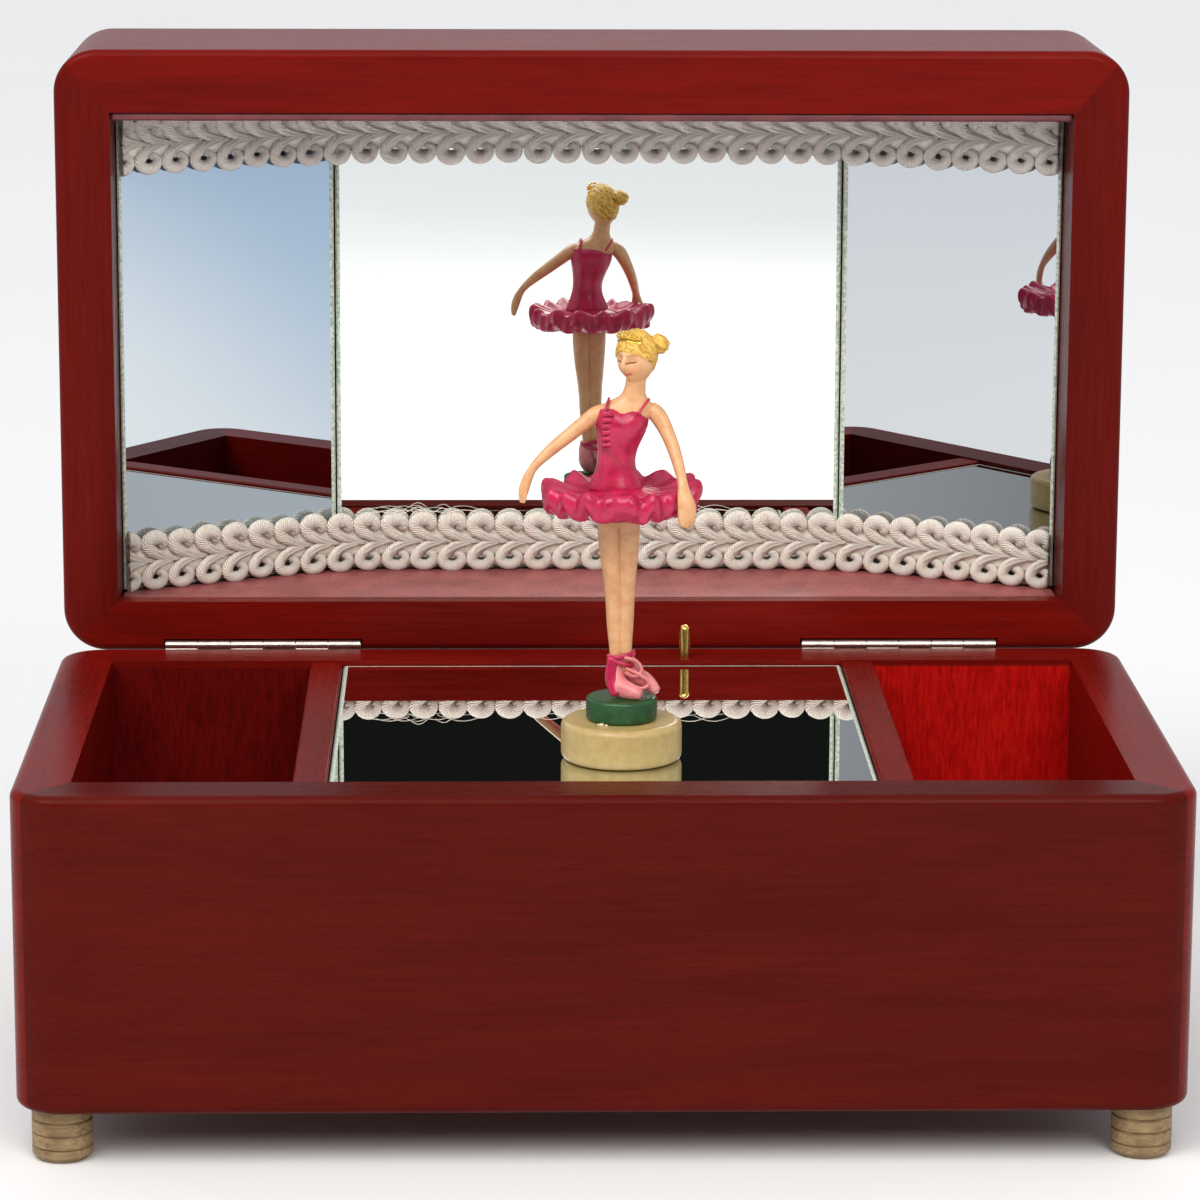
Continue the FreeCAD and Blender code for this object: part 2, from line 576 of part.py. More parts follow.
def turntable():
    """Bridge and pillars, the fixed sun gear, the arm with its shaft, and the planet with its magnet."""
    plate = block(-20, -20, "-bridge_drop", 40, 40, "bridge_thick")
    plate = rounded(plate, 4, upright)
    shaft_bore = rod(0, 0, "-bridge_drop - 1", "arbor_radius + running_gap", 4)
    publish(cut(plate, shaft_bore), "bridge_plate")
    feet = ((16, 16), (16, -16), (6, 18), (-4, -18))
    posts = [rod(x, y, BED_TOP, 1.6, f"-bridge_drop - ({BED_TOP})") for x, y in feet]
    publish(fuse(*posts), "bridge_pillars")
    toward = math.degrees(math.atan2(number("dancer_y"), number("dancer_x")))
    sun = toothed("sun_gear_body", "sun_teeth", "planet_module", 2, 4.5)
    publish(place(sun, 0, 0, BRIDGE_TOP, about_z(toward)), "sun_gear")
    shaft_foot = f"({BED_TOP} + 0.3)"
    publish(rod(0, 0, shaft_foot, "arbor_radius", f"{ARM_LOW} + 1.8 - {shaft_foot}"), "arm_shaft")
    pinion = toothed("arm_pinion_body", "arm_teeth", "wheel_module", "wheel_thick", "arbor_radius")
    half_tooth = 180 / number("arm_teeth")
    publish(place(pinion, 0, 0, WHEEL_LOW, about_z(half_tooth)), "arm_pinion")
    reach = math.hypot(number("dancer_x"), number("dancer_y"))
    bar = doc.addObject("Part::Box", "arm_bar")
    bar.Length, bar.Width, bar.Height = reach + 12, 5, 1.6
    along = Rotation(Vector(0, 0, 1), toward)
    start = along.multVec(Vector(-8, -2.5, 0))
    place(bar, start.x, start.y, ARM_LOW, along)
    eye = rod("dancer_x", "dancer_y", f"{ARM_LOW} - 1", "1 + running_gap", 4)
    boss = rod(0, 0, f"{ARM_LOW} - 0.6", 3, 2.2)
    seat = rod(0, 0, -30, "arbor_radius", 30)
    publish(cut(fuse(bar, boss), eye, seat), "magnet_arm")
    planet = toothed("planet_gear_body", "planet_teeth", "planet_module", 2, 1)
    meshed = about_z(toward + 180 + 180 / number("planet_teeth"))
    publish(place(planet, "dancer_x", "dancer_y", BRIDGE_TOP, meshed), "planet_gear")
    stem = rod("dancer_x", "dancer_y", BRIDGE_TOP, 1, f"{ARM_LOW} + 1.6 + 0.35 - {BRIDGE_TOP}")
    cup = rod("dancer_x", "dancer_y", f"{ARM_LOW} + 1.6 + 0.35", "magnet_radius",
              f"{PLATE_TOP} - plate_thick - 0.35 - ({ARM_LOW} + 1.95)")
    publish(fuse(stem, cup), "carrier_magnet")


def tune_set():
    """Pinned cylinder with its gear, bracket, comb, idler and governor."""
    axis = ("cylinder_y", "-cylinder_drop")
    drum = rod(CYL_LEFT, *axis, "cylinder_radius", "cylinder_length", ALONG_X)
    spindle = rod(CYL_LEFT - 3, *axis, 1, "cylinder_length + 9", ALONG_X)
    pins = []
    for track in range(18):
        angle = math.radians(track * 137.5)
        tip = number("cylinder_radius") + 0.45
        pin = doc.addObject("Part::Cylinder", "tune_pin")
        pin.Radius, pin.Height = 0.2, 1.2
        out = Vector(0, math.cos(angle), math.sin(angle))
        base = out * (tip - 1.2)
        x = CYL_LEFT + 1.5 + track * (number("cylinder_length") - 3) / 17
        pins.append(place(pin, x, f"cylinder_y + {base.y}", f"-cylinder_drop + {base.z}",
                          Rotation(Vector(0, 0, 1), out)))
    publish(fuse(drum, spindle, *pins), "pin_cylinder")
    gear_x = f"cylinder_length + {CYL_LEFT} + 0.4"
    gear = toothed("cylinder_gear_body", "cylinder_teeth", "fine_module", 1.6, 1)
    publish(place(gear, gear_x, *axis, ALONG_X * about_z(90)), "cylinder_gear")
    idler_y = "cylinder_y + fine_module * (cylinder_teeth + idler_teeth) / 2"
    pinion = toothed("idler_pinion", "idler_teeth", "fine_module", 2.2, 1)
    half_tooth = 180 / number("idler_teeth")
    place(pinion, gear_x, idler_y, "-cylinder_drop", ALONG_X * about_z(half_tooth - 90))
    wheel = toothed("idler_wheel_body", "idler_wheel_teeth", "fine_module", 1.4, 1)
    place(wheel, f"{gear_x} + 2.2", idler_y, "-cylinder_drop", ALONG_X)
    spindle = rod(f"{gear_x} - 2.5", idler_y, "-cylinder_drop", 1, 8.1, ALONG_X)
    publish(fuse(pinion, wheel, spindle), "idler_wheel")
    worm_x = f"({gear_x} + 2.9)"
    side_rise, post_rise = f"-cylinder_drop + 4 - ({BED_TOP})", f"-governor_drop + 2 - ({BED_TOP})"
    uprights = [
        block(-34.6, 20.5, BED_TOP, 1.2, 7, side_rise), block(-5.4, 20.5, BED_TOP, 1.2, 17, side_rise),
        block(-11.9, 32, BED_TOP, 1.1, 5.2, side_rise),
        block(f"{worm_x} - 1", 16.4, BED_TOP, 2, 1.2, post_rise),
        block(f"{worm_x} - 1", 42, BED_TOP, 2, 1, post_rise),
    ]
    journals = [rod(-40, *axis, "1 + running_gap", 50, ALONG_X),
                rod(-14, idler_y, "-cylinder_drop", "1 + running_gap", 20, ALONG_X),
                rod(worm_x, 0, "-governor_drop", "0.6 + running_gap", 50, ALONG_Y)]
    publish(cut(fuse(*uprights), *journals), "bearing_brackets")
    comb_y = "cylinder_y + cylinder_radius + 0.9"
    teeth = [block(-31.2 + step * 1.05, comb_y, "-cylinder_drop - 0.3", 0.75, 7, 0.6) for step in range(18)]
    heel = block(-31.6, f"{comb_y} + 6.5", "-cylinder_drop - 0.3", 19.6, 5, 1.6)
    publish(fuse(*teeth, heel), "comb")
    publish(block(-31.6, f"{comb_y} + 7.2", BED_TOP, 19.6, 4.3, f"-cylinder_drop - 0.3 - ({BED_TOP})"),
            "comb_block")
    worm_y, threads = 8, 24.3
    profile = [(0, 0), (0.6, 0), (0.6, threads)]
    for ring in range(4):
        low = threads + 0.3 + 1.3 * ring
        profile += [(1.2, low), (1.2, low + 0.4), (0.7, low + 0.7)]
    profile += [(0.6, threads + 5.6), (0.6, 34.8), (0, 34.8)]
    publish(turned("worm_body", profile, worm_x, worm_y, "-governor_drop", ALONG_Y), "governor_worm")
    fan = block(f"{worm_x} - 4.5", worm_y + 1.5, "-governor_drop - 0.4", 9, 5, 0.8)
    hole = rod(worm_x, worm_y, "-governor_drop", 0.6, 26, ALONG_Y)
    hub = rod(worm_x, worm_y + 1.5, "-governor_drop", 1.4, 5, ALONG_Y)
    publish(cut(fuse(fan, hub), hole), "governor_fan")


def stop_set():
    """The pin that the closing lid presses, and the lever that brakes the governor."""
    shaft = rod("stop_pin_x", "stop_pin_y", "-stop_pin_foot", "stop_pin_radius",
                "stop_pin_foot + stop_pin_rise - stop_pin_radius")
    tip = ball("stop_pin_x", "stop_pin_y", "stop_pin_rise - stop_pin_radius", "stop_pin_radius")
    publish(fuse(shaft, tip), "stop_pin")
    pivot = rod(0.2, "lever_y", "-lever_drop", 1, 18.8, ALONG_X)
    tail = block("stop_pin_x - 1.5", "lever_y - 1", "-lever_drop - 0.7", 3, "stop_pin_y - lever_y + 2", 1.4)
    droop = Rotation(Vector(1, 0, 0), LEVER_SWING)
    arms = []
    for x, y, width, length in ((0.2, -22, 2, 22.6), (-2.0, -22, 4.2, 2)):
        arm = doc.addObject("Part::Box", "lever_arm")
        arm.Length, arm.Width, arm.Height = width, length, 1.4
        corner = droop.multVec(Vector(x, y, -0.7))
        arms.append(place(arm, corner.x, f"lever_y + {corner.y}", f"-lever_drop + {corner.z}", droop))
    publish(fuse(pivot, tail, *arms), "stop_lever")
    post = block(9, "lever_y - 2.5", BED_TOP, 3, 5, f"-lever_drop + 2.4 - ({BED_TOP})")
    bore = rod(0, "lever_y", "-lever_drop", "1 + running_gap", 30, ALONG_X)
    publish(cut(post, bore), "lever_bracket")


# ---------------------------------------------------------------- dancer


# shoulder, elbow, wrist and fingertip of each arm, and the two radii of each length between them
LEFT_ARM = ((-4.4, 0, 60.2), (-10.6, -1.4, 54.4), (-15.4, -3.2, 50.2), (-16.9, -4.2, 45.6))
RIGHT_ARM = ((5.2, 0, 59.8), (8.6, -1.2, 52.6), (10.4, -3.4, 47.2), (11.2, -4.4, 42.0))
ARM_TAPERS = ((1.3, 1.05), (1.05, 0.75), (0.8, 0.6))


def limb(start, end, low, high):
    """A tapered limb between two points given from the dancer's own axis, above the glass plate."""
    a, b = Vector(*start), Vector(*end)
    piece = cone(f"dancer_x + {a.x}", f"dancer_y + {a.y}", f"{PLATE_TOP} + {a.z}", low, high, (b - a).Length)
    piece.Placement.Rotation = Rotation(Vector(0, 0, 1), b - a)
    return piece


def joint_ball(point, radius):
    """A round joint of the figure."""
    x, y, z = point
    return ball(f"dancer_x + {x}", f"dancer_y + {y}", f"{PLATE_TOP} + {z}", radius)


def dancer():
    """Disc with its magnet, base and the figure."""
    floor = f"({PLATE_TOP} + rest_gap)"
    disc = rod("dancer_x", "dancer_y", floor, "disc_radius", "disc_thick")
    disc = rounded(disc, 1.2, lambda edge: edge.Length > 20)
    socket = rod("dancer_x", "dancer_y", f"{floor} - 1", 5, 4)
    publish(cut(disc, socket), "dancer_disc")
    publish(rod("dancer_x", "dancer_y", f"{floor} + 0.2", 5, 2.8), "disc_magnet")
    base = rod("dancer_x", "dancer_y", f"{floor} + disc_thick", "base_radius", "base_thick")
    publish(rounded(base, 0.6, lambda edge: edge.Length > 20), "dancer_base")
    shoe = number("rest_gap + disc_thick + base_thick")
    legs = limb((-0.2, 0, shoe + 3), (-0.8, 0, 41.5), 1.9, 3.4)
    shoes = limb((-0.3, 0, shoe), (-0.3, 0, shoe + 7), 2.5, 2.25)
    toe = limb((0.2, -0.6, shoe + 1.4), (4.2, -2.2, shoe + 1.1), 1.1, 0.8)
    skirt = cone("dancer_x", "dancer_y", f"{PLATE_TOP} + skirt_low + 1.5", "skirt_radius - 0.8", 5,
                 "skirt_high - skirt_low - 1.5")
    hem = rod("dancer_x", "dancer_y", f"{PLATE_TOP} + skirt_low", "skirt_radius", 2.4)
    waist = limb((-1.2, 0, 46), (-0.9, 0, 52.6), 4.0, 2.7)
    chest = limb((-0.9, 0, 52.2), (-0.2, 0, 60.3), 3.0, 3.5)
    shoulders = limb((-4.2, 0, 60.0), (4.9, 0, 59.7), 1.2, 1.2)
    neck = limb((1.2, 0, 59.5), (1.7, 0, 66.5), 1.3, 1.2)
    head = joint_ball((1.2, -0.3, 69.6), 4.3)
    bun = joint_ball((5.6, 2.2, 72.0), 1.9)
    arms = []
    for joints in (LEFT_ARM, RIGHT_ARM):
        for (start, end), (thick, thin) in zip(zip(joints, joints[1:]), ARM_TAPERS):
            arms.append(limb(start, end, thick, thin))
            arms.append(joint_ball(start, thick + 0.05))
    figure = fuse(shoes, legs, toe, hem, skirt, waist, chest, shoulders, neck, head, bun, *arms)
    publish(figure, "dancer_figure")


def check_and_export():
    """Recomputes, stops on any failed object, and writes one STEP file per sub-part."""
    doc.recompute()
    failed = [o.Name for o in doc.Objects if "Invalid" in o.State or "Error" in o.State]
    failed += [o.Label for o in subparts if o.Shape.isNull() or not o.Shape.isValid() or not o.Shape.Solids]
    if failed:
        raise RuntimeError(f"failed objects: {failed}")
    os.makedirs("parts", exist_ok=True)
    for obj in subparts:
        obj.Shape.exportStep(f"parts/{obj.Label}.step")
        print(f"{obj.Label}: {len(obj.Shape.Solids)} solids, {obj.Shape.Volume:.1f} mm3")


case_boards()
case_inside()
lid_boards()
lid_inside()
hinges()
spring_set()
turntable()
tune_set()
stop_set()
dancer()
check_and_export()
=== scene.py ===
"""Musical jewellery box: the finished look of the case, the mirrored lid, the dancer and the movement.

Lengths in the classes are millimetres of the bench frame: X right, Y back, Z up, with Y = 0 in the middle of the case
and Z = 0 on its top rim. Bench.point turns them into the frame's metres.
"""
import logging
import math
from dataclasses import dataclass, field
from enum import Enum
from typing import Iterable, Sequence

import bmesh
import bpy
from mathutils import Matrix, Vector, noise


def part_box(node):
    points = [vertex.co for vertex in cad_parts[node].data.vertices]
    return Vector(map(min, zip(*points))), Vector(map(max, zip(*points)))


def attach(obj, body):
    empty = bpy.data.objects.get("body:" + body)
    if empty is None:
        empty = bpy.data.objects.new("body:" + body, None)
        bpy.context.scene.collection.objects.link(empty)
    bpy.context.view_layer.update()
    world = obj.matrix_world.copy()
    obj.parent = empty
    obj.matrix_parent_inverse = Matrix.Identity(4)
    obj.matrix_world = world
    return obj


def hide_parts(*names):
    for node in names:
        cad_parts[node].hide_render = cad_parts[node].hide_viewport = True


logging.basicConfig(level=logging.INFO, format="%(message)s")
log = logging.getLogger("music_box")

noise.seed_set(11)  # without it the noise takes its offsets from the clock
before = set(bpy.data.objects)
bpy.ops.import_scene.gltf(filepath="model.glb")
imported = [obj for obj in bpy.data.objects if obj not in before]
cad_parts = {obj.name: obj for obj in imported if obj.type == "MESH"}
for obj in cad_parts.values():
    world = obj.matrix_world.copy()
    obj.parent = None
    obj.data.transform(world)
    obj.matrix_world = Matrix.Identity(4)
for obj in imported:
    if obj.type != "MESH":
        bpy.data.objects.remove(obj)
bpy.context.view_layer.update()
MM = 0.001
Point = tuple[float, float, float]
Colour = tuple[float, float, float]
Row = tuple[float, ...]
LOOSE_FIBRES = (0.292, 0.301, 0.307, 0.314, 0.325, 0.337, 0.35, 0.361, 0.47, 0.478, 0.49, 0.606, 0.615, 0.631)


def srgb(red: int, green: int, blue: int) -> Colour:
    """A display colour as linear light.

    Args:
        red, green, blue: 0 to 255.

    Returns:
        Linear red, green and blue.
    """
    parts = [value / 255 for value in (red, green, blue)]
    return tuple(v / 12.92 if v <= 0.04045 else ((v + 0.055) / 1.055) ** 2.4 for v in parts)


class Bench:
    """The bench frame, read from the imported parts."""

    front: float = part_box("front_board")[0].y
    back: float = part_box("rear_board")[1].y
    rim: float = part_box("rear_board")[1].z
    middle: float = (front + back) / 2

    @classmethod
    def point(cls, x: float, y: float, z: float) -> Vector:
        """A bench point in the frame's metres."""
        return Vector((x * MM, cls.middle + y * MM, cls.rim + z * MM))

    @classmethod
    def box(cls, node: str) -> tuple[Vector, Vector]:
        """A node's corners in bench millimetres.

        Args:
            node: the CAD node.

        Returns:
            The low and the high corner.
        """
        low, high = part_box(node)
        shift = Vector((0, cls.middle, cls.rim))
        return (low - shift) / MM, (high - shift) / MM


# ------------------------------------------------------------------ shading


class Num:
    """A number that runs between shader nodes; arithmetic on it adds Math nodes."""

    def __init__(self, graph: "Graph", socket: bpy.types.NodeSocket) -> None:
        """Wraps one output socket."""
        self.graph = graph
        self.socket = socket

    def math(self, operation: str, *others: "float | Num", first: "float | Num | None" = None) -> "Num":
        """Adds one Math node.

        Args:
            operation: the node's operation.
            others: the values after this one.
            first: a value that goes before this one.

        Returns:
            The node's result.
        """
        row = [first, self, *others] if first is not None else [self, *others]
        made = self.graph.node("ShaderNodeMath", {"operation": operation}, dict(enumerate(row)))
        return Num(self.graph, made.outputs[0])

    def __add__(self, other: "float | Num") -> "Num":
        """Sum."""
        return self.math("ADD", other)

    __radd__ = __add__

    def __mul__(self, other: "float | Num") -> "Num":
        """Product."""
        return self.math("MULTIPLY", other)

    __rmul__ = __mul__

    def __sub__(self, other: "float | Num") -> "Num":
        """Difference."""
        return self.math("SUBTRACT", other)

    def __rsub__(self, other: "float | Num") -> "Num":
        """Reflected difference."""
        return self.math("SUBTRACT", first=other)

    def __truediv__(self, other: "float | Num") -> "Num":
        """Quotient."""
        return self.math("DIVIDE", other)

    def __pow__(self, other: float) -> "Num":
        """Power."""
        return self.math("POWER", other)

    def size(self) -> "Num":
        """Absolute value."""
        return self.math("ABSOLUTE")

    def sine(self) -> "Num":
        """Sine."""
        return self.math("SINE")

    def step(self, low: float, high: float) -> "Num":
        """A smooth step from 0 at low to 1 at high; low may be above high.

        Args:
            low: where the step starts.
            high: where it ends.

        Returns:
            The stepped number.
        """
        made = self.graph.node("ShaderNodeMapRange", {"interpolation_type": "SMOOTHSTEP"},
                                {"Value": self, "From Min": low, "From Max": high, "To Min": 0.0, "To Max": 1.0})
        return Num(self.graph, made.outputs[0])


class Graph:
    """A node tree under construction."""

    def __init__(self, tree: bpy.types.NodeTree) -> None:
        """Starts on an existing tree."""
        self.tree = tree

    def node(self, kind: str, settings: dict | None = None, values: dict | None = None) -> bpy.types.Node:
        """Adds a node.

        Args:
            kind: the node's type.
            settings: its properties; "stops" fills a colour ramp.
            values: numbers, colours or links for its inputs, by name or index.

        Returns:
            The node.
        """
        made = self.tree.nodes.new(kind)
        for key, value in (settings or {}).items():
            if key == "stops":
                while len(made.color_ramp.elements) < len(value):
                    made.color_ramp.elements.new(0.5)
                for element, (place, colour) in zip(made.color_ramp.elements, value):
                    element.position, element.color = place, (*colour, 1)
            else:
                setattr(made, key, value)
        for key, value in (values or {}).items():
            self.feed(made.inputs[key], value)
        return made

    def feed(self, socket: bpy.types.NodeSocket, value: object) -> None:
        """Links or sets one input.

        Args:
            socket: the input.
            value: a number, a colour, a vector or an output to link.
        """
        if isinstance(value, Num):
            value = value.socket
        if isinstance(value, bpy.types.NodeSocket):
            self.tree.links.new(value, socket)
        elif isinstance(value, tuple) and socket.type == "RGBA" and len(value) == 3:
            socket.default_value = (*value, 1)
        else:
            socket.default_value = value

    def axes(self, vector: bpy.types.NodeSocket) -> tuple[Num, Num, Num]:
        """The three numbers of a vector."""
        made = self.node("ShaderNodeSeparateXYZ", values={0: vector})
        return tuple(Num(self, out) for out in made.outputs)

    def mix(self, share: "float | Num", one: object, two: object) -> bpy.types.NodeSocket:
        """A colour between two colours."""
        made = self.node("ShaderNodeMix", {"data_type": "RGBA"}, {0: share, 6: one, 7: two})
        return made.outputs[2]


class Shader(Graph):
    """A node material under construction."""

    def __init__(self, name: str) -> None:
        """Starts a material that holds one Principled shader."""
        self.material = bpy.data.materials.new(name)
        self.material.use_nodes = True
        super().__init__(self.material.node_tree)
        self.surface = self.tree.nodes["Principled BSDF"]

    def place(self, scale: Point = (1, 1, 1), centre: Vector | None = None,
              turn: Point = (0, 0, 0)) -> bpy.types.NodeSocket:
        """Object coordinates in millimetres.

        Args:
            scale: stretch of each axis, after the millimetres.
            centre: the frame point that becomes the origin.
            turn: rotation in radians.

        Returns:
            The mapped vector.
        """
        source = self.node("ShaderNodeTexCoord").outputs["Object"]
        shift = centre if centre is not None else Vector((0, 0, 0))
        moved = self.node("ShaderNodeVectorMath", {"operation": "SUBTRACT"}, {0: source, 1: tuple(shift)})
        mapped = self.node("ShaderNodeMapping", {"vector_type": "POINT"},
                           {"Vector": moved.outputs[0], "Rotation": turn, "Scale": (1 / MM,) * 3})
        stretched = self.node("ShaderNodeVectorMath", {"operation": "MULTIPLY"}, {0: mapped.outputs[0], 1: scale})
        return stretched.outputs[0]

    def noise(self, vector: bpy.types.NodeSocket, scale: float, detail: float = 3, rough: float = 0.5,
              warp: float = 0) -> Num:
        """Noise from 0 to 1.

        Args:
            vector: coordinates.
            scale: cells per unit.
            detail: octaves.
            rough: strength of the finer octaves.
            warp: distortion.

        Returns:
            The noise.
        """
        made = self.node("ShaderNodeTexNoise", values={
            "Vector": vector, "Scale": scale, "Detail": detail, "Roughness": rough, "Distortion": warp})
        return Num(self, made.outputs["Fac"])

    def ramp(self, share: Num, stops: Sequence[tuple[float, Colour]]) -> bpy.types.NodeSocket:
        """A colour from a ramp."""
        return self.node("ShaderNodeValToRGB", {"stops": stops}, {0: share}).outputs[0]

    def bump(self, height: Num, depth: float, strength: float = 1.0) -> None:
        """Raises the surface by a height, depth millimetres for 1."""
        made = self.node("ShaderNodeBump", values={"Height": height, "Distance": depth * MM, "Strength": strength})
        self.feed(self.surface.inputs["Normal"], made.outputs[0])

    def set(self, **values: object) -> bpy.types.Material:
        """Fills the surface shader's inputs.

        Args:
            values: each input's value, named with underscores for spaces.

        Returns:
            The material.
        """
        for name, value in values.items():
            self.feed(self.surface.inputs[name.replace("_", " ")], value)
        return self.material


class Grain(Enum):
    """The way the wood's fibres run, as the stretch of each axis."""

    ALONG_X = (0.05, 1.0, 1.0)
    ALONG_Y = (1.0, 0.05, 1.0)
    ALONG_Z = (1.0, 1.0, 0.05)


@dataclass(frozen=True)
class StainedWood:
    """Red-stained close-grained hardwood under a satin lacquer."""

    name: str
    grain: Grain
    dark: Colour = srgb(88, 12, 8)
    light: Colour = srgb(120, 18, 11)
    lacquer: float = 0.28
    panel_depth: float = 10.6
    panel_drop: float = 0.8
    panel_from: float = 52.0
    fibre_panel: bool = False

    def build(self) -> bpy.types.Material:
        """Makes the material.

        Returns:
            The material.
        """
        s = Shader(self.name)
        along = s.place(self.grain.value)
        broad = s.place(tuple(v * (0.35 if v == 1.0 else 0.9) for v in self.grain.value))
        fibre = s.noise(along, 1.1, 6, 0.62)
        figure = s.noise(broad, 0.16, 3, 0.55, 1.4)
        pores = s.noise(along, 4.2, 2, 0.5).step(0.60, 0.76)
        tone = (fibre - 0.5) * 0.62 + (figure - 0.5) * 0.85 + 0.5
        colour = s.mix(tone.step(0.12, 0.88), self.dark, self.light)
        colour = s.mix(pores * 0.35, colour, tuple(v * 0.45 for v in self.dark))
        rough = self.lacquer + (fibre - 0.5) * 0.14
        relief = fibre * 0.5 - pores * 0.5
        if self.fibre_panel:
            high = Bench.box("rear_board")[1]
            _, y, z = s.axes(s.place(centre=Bench.point(0, 0, 0)))
            x, _, _ = s.axes(s.place())
            face = (y.step(high.y - self.panel_depth, high.y - self.panel_depth - 0.3)
                    * z.step(-self.panel_drop, -2 * self.panel_drop)
                    * x.size().step(self.panel_from, self.panel_from + 1))
            strands = s.noise(s.place((1.0, 1.0, 0.16)), 1.7, 5, 0.7)
            raw = s.ramp(strands, ((0.25, srgb(124, 7, 5)), (0.5, srgb(178, 12, 8)), (0.75, srgb(200, 28, 20))))
            # painted shade: in the left compartment the back panel takes darker copies of these fibre colours, for
            # the shade that falls there; the mix below picks them by side
            shaded_left_panel = s.ramp(strands, ((0.25, srgb(60, 4, 4)), (0.5, srgb(92, 7, 5)), (0.75, srgb(110, 12, 9))))
            colour = s.mix(face, colour, s.mix(x.step(-10, 10), shaded_left_panel, raw))
            rough = rough + face * 0.4
            relief = relief + face * strands * 3
        s.bump(relief, 0.035)
        return s.set(Base_Color=colour, Roughness=rough, Coat_Weight=0.02, Coat_Roughness=0.2,
                     Specular_IOR_Level=0.045)


@dataclass(frozen=True)
class PlainWood:
    """Unlacquered wood: turned feet, plywood and cleats."""

    name: str
    grain: Grain
    dark: Colour
    light: Colour
    rough: float = 0.6

    def build(self) -> bpy.types.Material:
        """Makes the material.

        Returns:
            The material.
        """
        s = Shader(self.name)
        along = s.place(self.grain.value)
        fibre = s.noise(along, 1.6, 6, 0.65)
        patches = s.noise(s.place(), 0.25, 2)
        colour = s.mix((fibre * 0.7 + patches * 0.3).step(0.3, 0.7), self.dark, self.light)
        s.bump(fibre, 0.06)
        return s.set(Base_Color=colour, Roughness=self.rough + (fibre - 0.5) * 0.2, Specular_IOR_Level=0.35)


@dataclass(frozen=True)
class Metal:
    """Metal with fine scratches and a little tarnish."""

    name: str
    colour: Colour
    tarnish: Colour
    rough: float = 0.28
    grain: Grain = Grain.ALONG_X

    def build(self) -> bpy.types.Material:
        """Makes the material.

        Returns:
            The material.
        """
        s = Shader(self.name)
        scratches = s.noise(s.place(self.grain.value), 9.0, 3, 0.6)
        cloud = s.noise(s.place(), 0.5, 3)
        colour = s.mix(cloud.step(0.42, 0.75) * 0.6, self.colour, self.tarnish)
        s.bump(scratches, 0.008)
        rough = self.rough + (cloud - 0.5) * 0.2 + (scratches - 0.5) * 0.12
        return s.set(Base_Color=colour, Metallic=1.0, Roughness=rough)


@dataclass(frozen=True)
class Moulded:
    """Moulded or painted plastic with faint mottling."""

    name: str
    colour: Colour
    shade: Colour
    rough: float = 0.35
    glow: float = 0.0
    lumps: float = 0.01

    def build(self) -> bpy.types.Material:
        """Makes the material.

        Returns:
            The material.
        """
        s = Shader(self.name)
        cloud = s.noise(s.place(), 0.55, 4, 0.6)
        fine = s.noise(s.place(), 6.0, 2)
        s.bump(cloud * 0.7 + fine * 0.3, self.lumps)
        return s.set(Base_Color=s.mix(cloud.step(0.3, 0.75), self.colour, self.shade),
                     Roughness=self.rough + (fine - 0.5) * 0.1, Subsurface_Weight=self.glow,
                     Subsurface_Radius=(0.0015, 0.0008, 0.0004))


@dataclass(frozen=True)
class MirrorFace:
    """Silvered glass seen from its face; on the wing mirrors the blue-grey colours and their change with height are a
    painted reflection.
    """

    name: str
    reflection_tint: Colour = (0.87, 0.90, 0.89)
    low_reflection_tint: Colour = (0.87, 0.90, 0.89)
    reflection_slope: float = 0.0

    def build(self) -> bpy.types.Material:
        """Makes the material.

        Returns:
            The material.
        """
        s = Shader(self.name)
        haze = s.noise(s.place(), 0.12, 4, 0.6)
        x, _, z = s.axes(s.place(centre=Bench.point(0, 0, 0)))
        # painted reflection: the colour runs from the low tint near the bottom to the high tint further up, sloped
        # across the wing
        rise = z + (x.size() - 76) * -self.reflection_slope
        reflection_tint = s.mix(rise.step(25, 100), self.low_reflection_tint, self.reflection_tint)
        return s.set(Base_Color=reflection_tint, Metallic=1.0, Roughness=haze.step(0.62, 0.95) * 0.03 + 0.004)


@dataclass(frozen=True)
class GlassEdge:
    """The cut edge of a glass sheet, pale green, lightened further as a painted highlight along the edge."""

    name: str

    def build(self) -> bpy.types.Material:
        """Makes the material.

        Returns:
            The material.
        """
        s = Shader(self.name)
        chips = s.noise(s.place(), 1.5, 4, 0.6)
        # partly painted highlight: the pale green is the ground edge's own colour, made lighter to stand for the
        # light line that the edge catches
        colour = s.mix(chips.step(0.35, 0.7), srgb(226, 234, 220), srgb(150, 172, 154))
        return s.set(Base_Color=colour, Roughness=chips * 0.3 + 0.08, Specular_IOR_Level=0.8)


@dataclass(frozen=True)
class Satin:
    """Satin over padding, with its fine threads."""

    name: str
    colour: Colour = srgb(166, 78, 78)
    shade: Colour = srgb(126, 48, 48)

    def build(self) -> bpy.types.Material:
        """Makes the material.

        Returns:
            The material.
        """
        s = Shader(self.name)
        warp = s.noise(s.place((1.0, 0.08, 1.0)), 7.0, 2)
        weft = s.noise(s.place((0.08, 1.0, 1.0)), 7.0, 2)
        cloud = s.noise(s.place(), 0.12, 3)
        colour = s.mix((warp * 0.5 + cloud * 0.5).step(0.35, 0.65), self.colour, self.shade)
        s.bump(warp * 0.5 + weft * 0.5, 0.03)
        return s.set(Base_Color=colour, Roughness=0.42 + (warp - 0.5) * 0.2, Sheen_Weight=0.12, Sheen_Roughness=0.35)


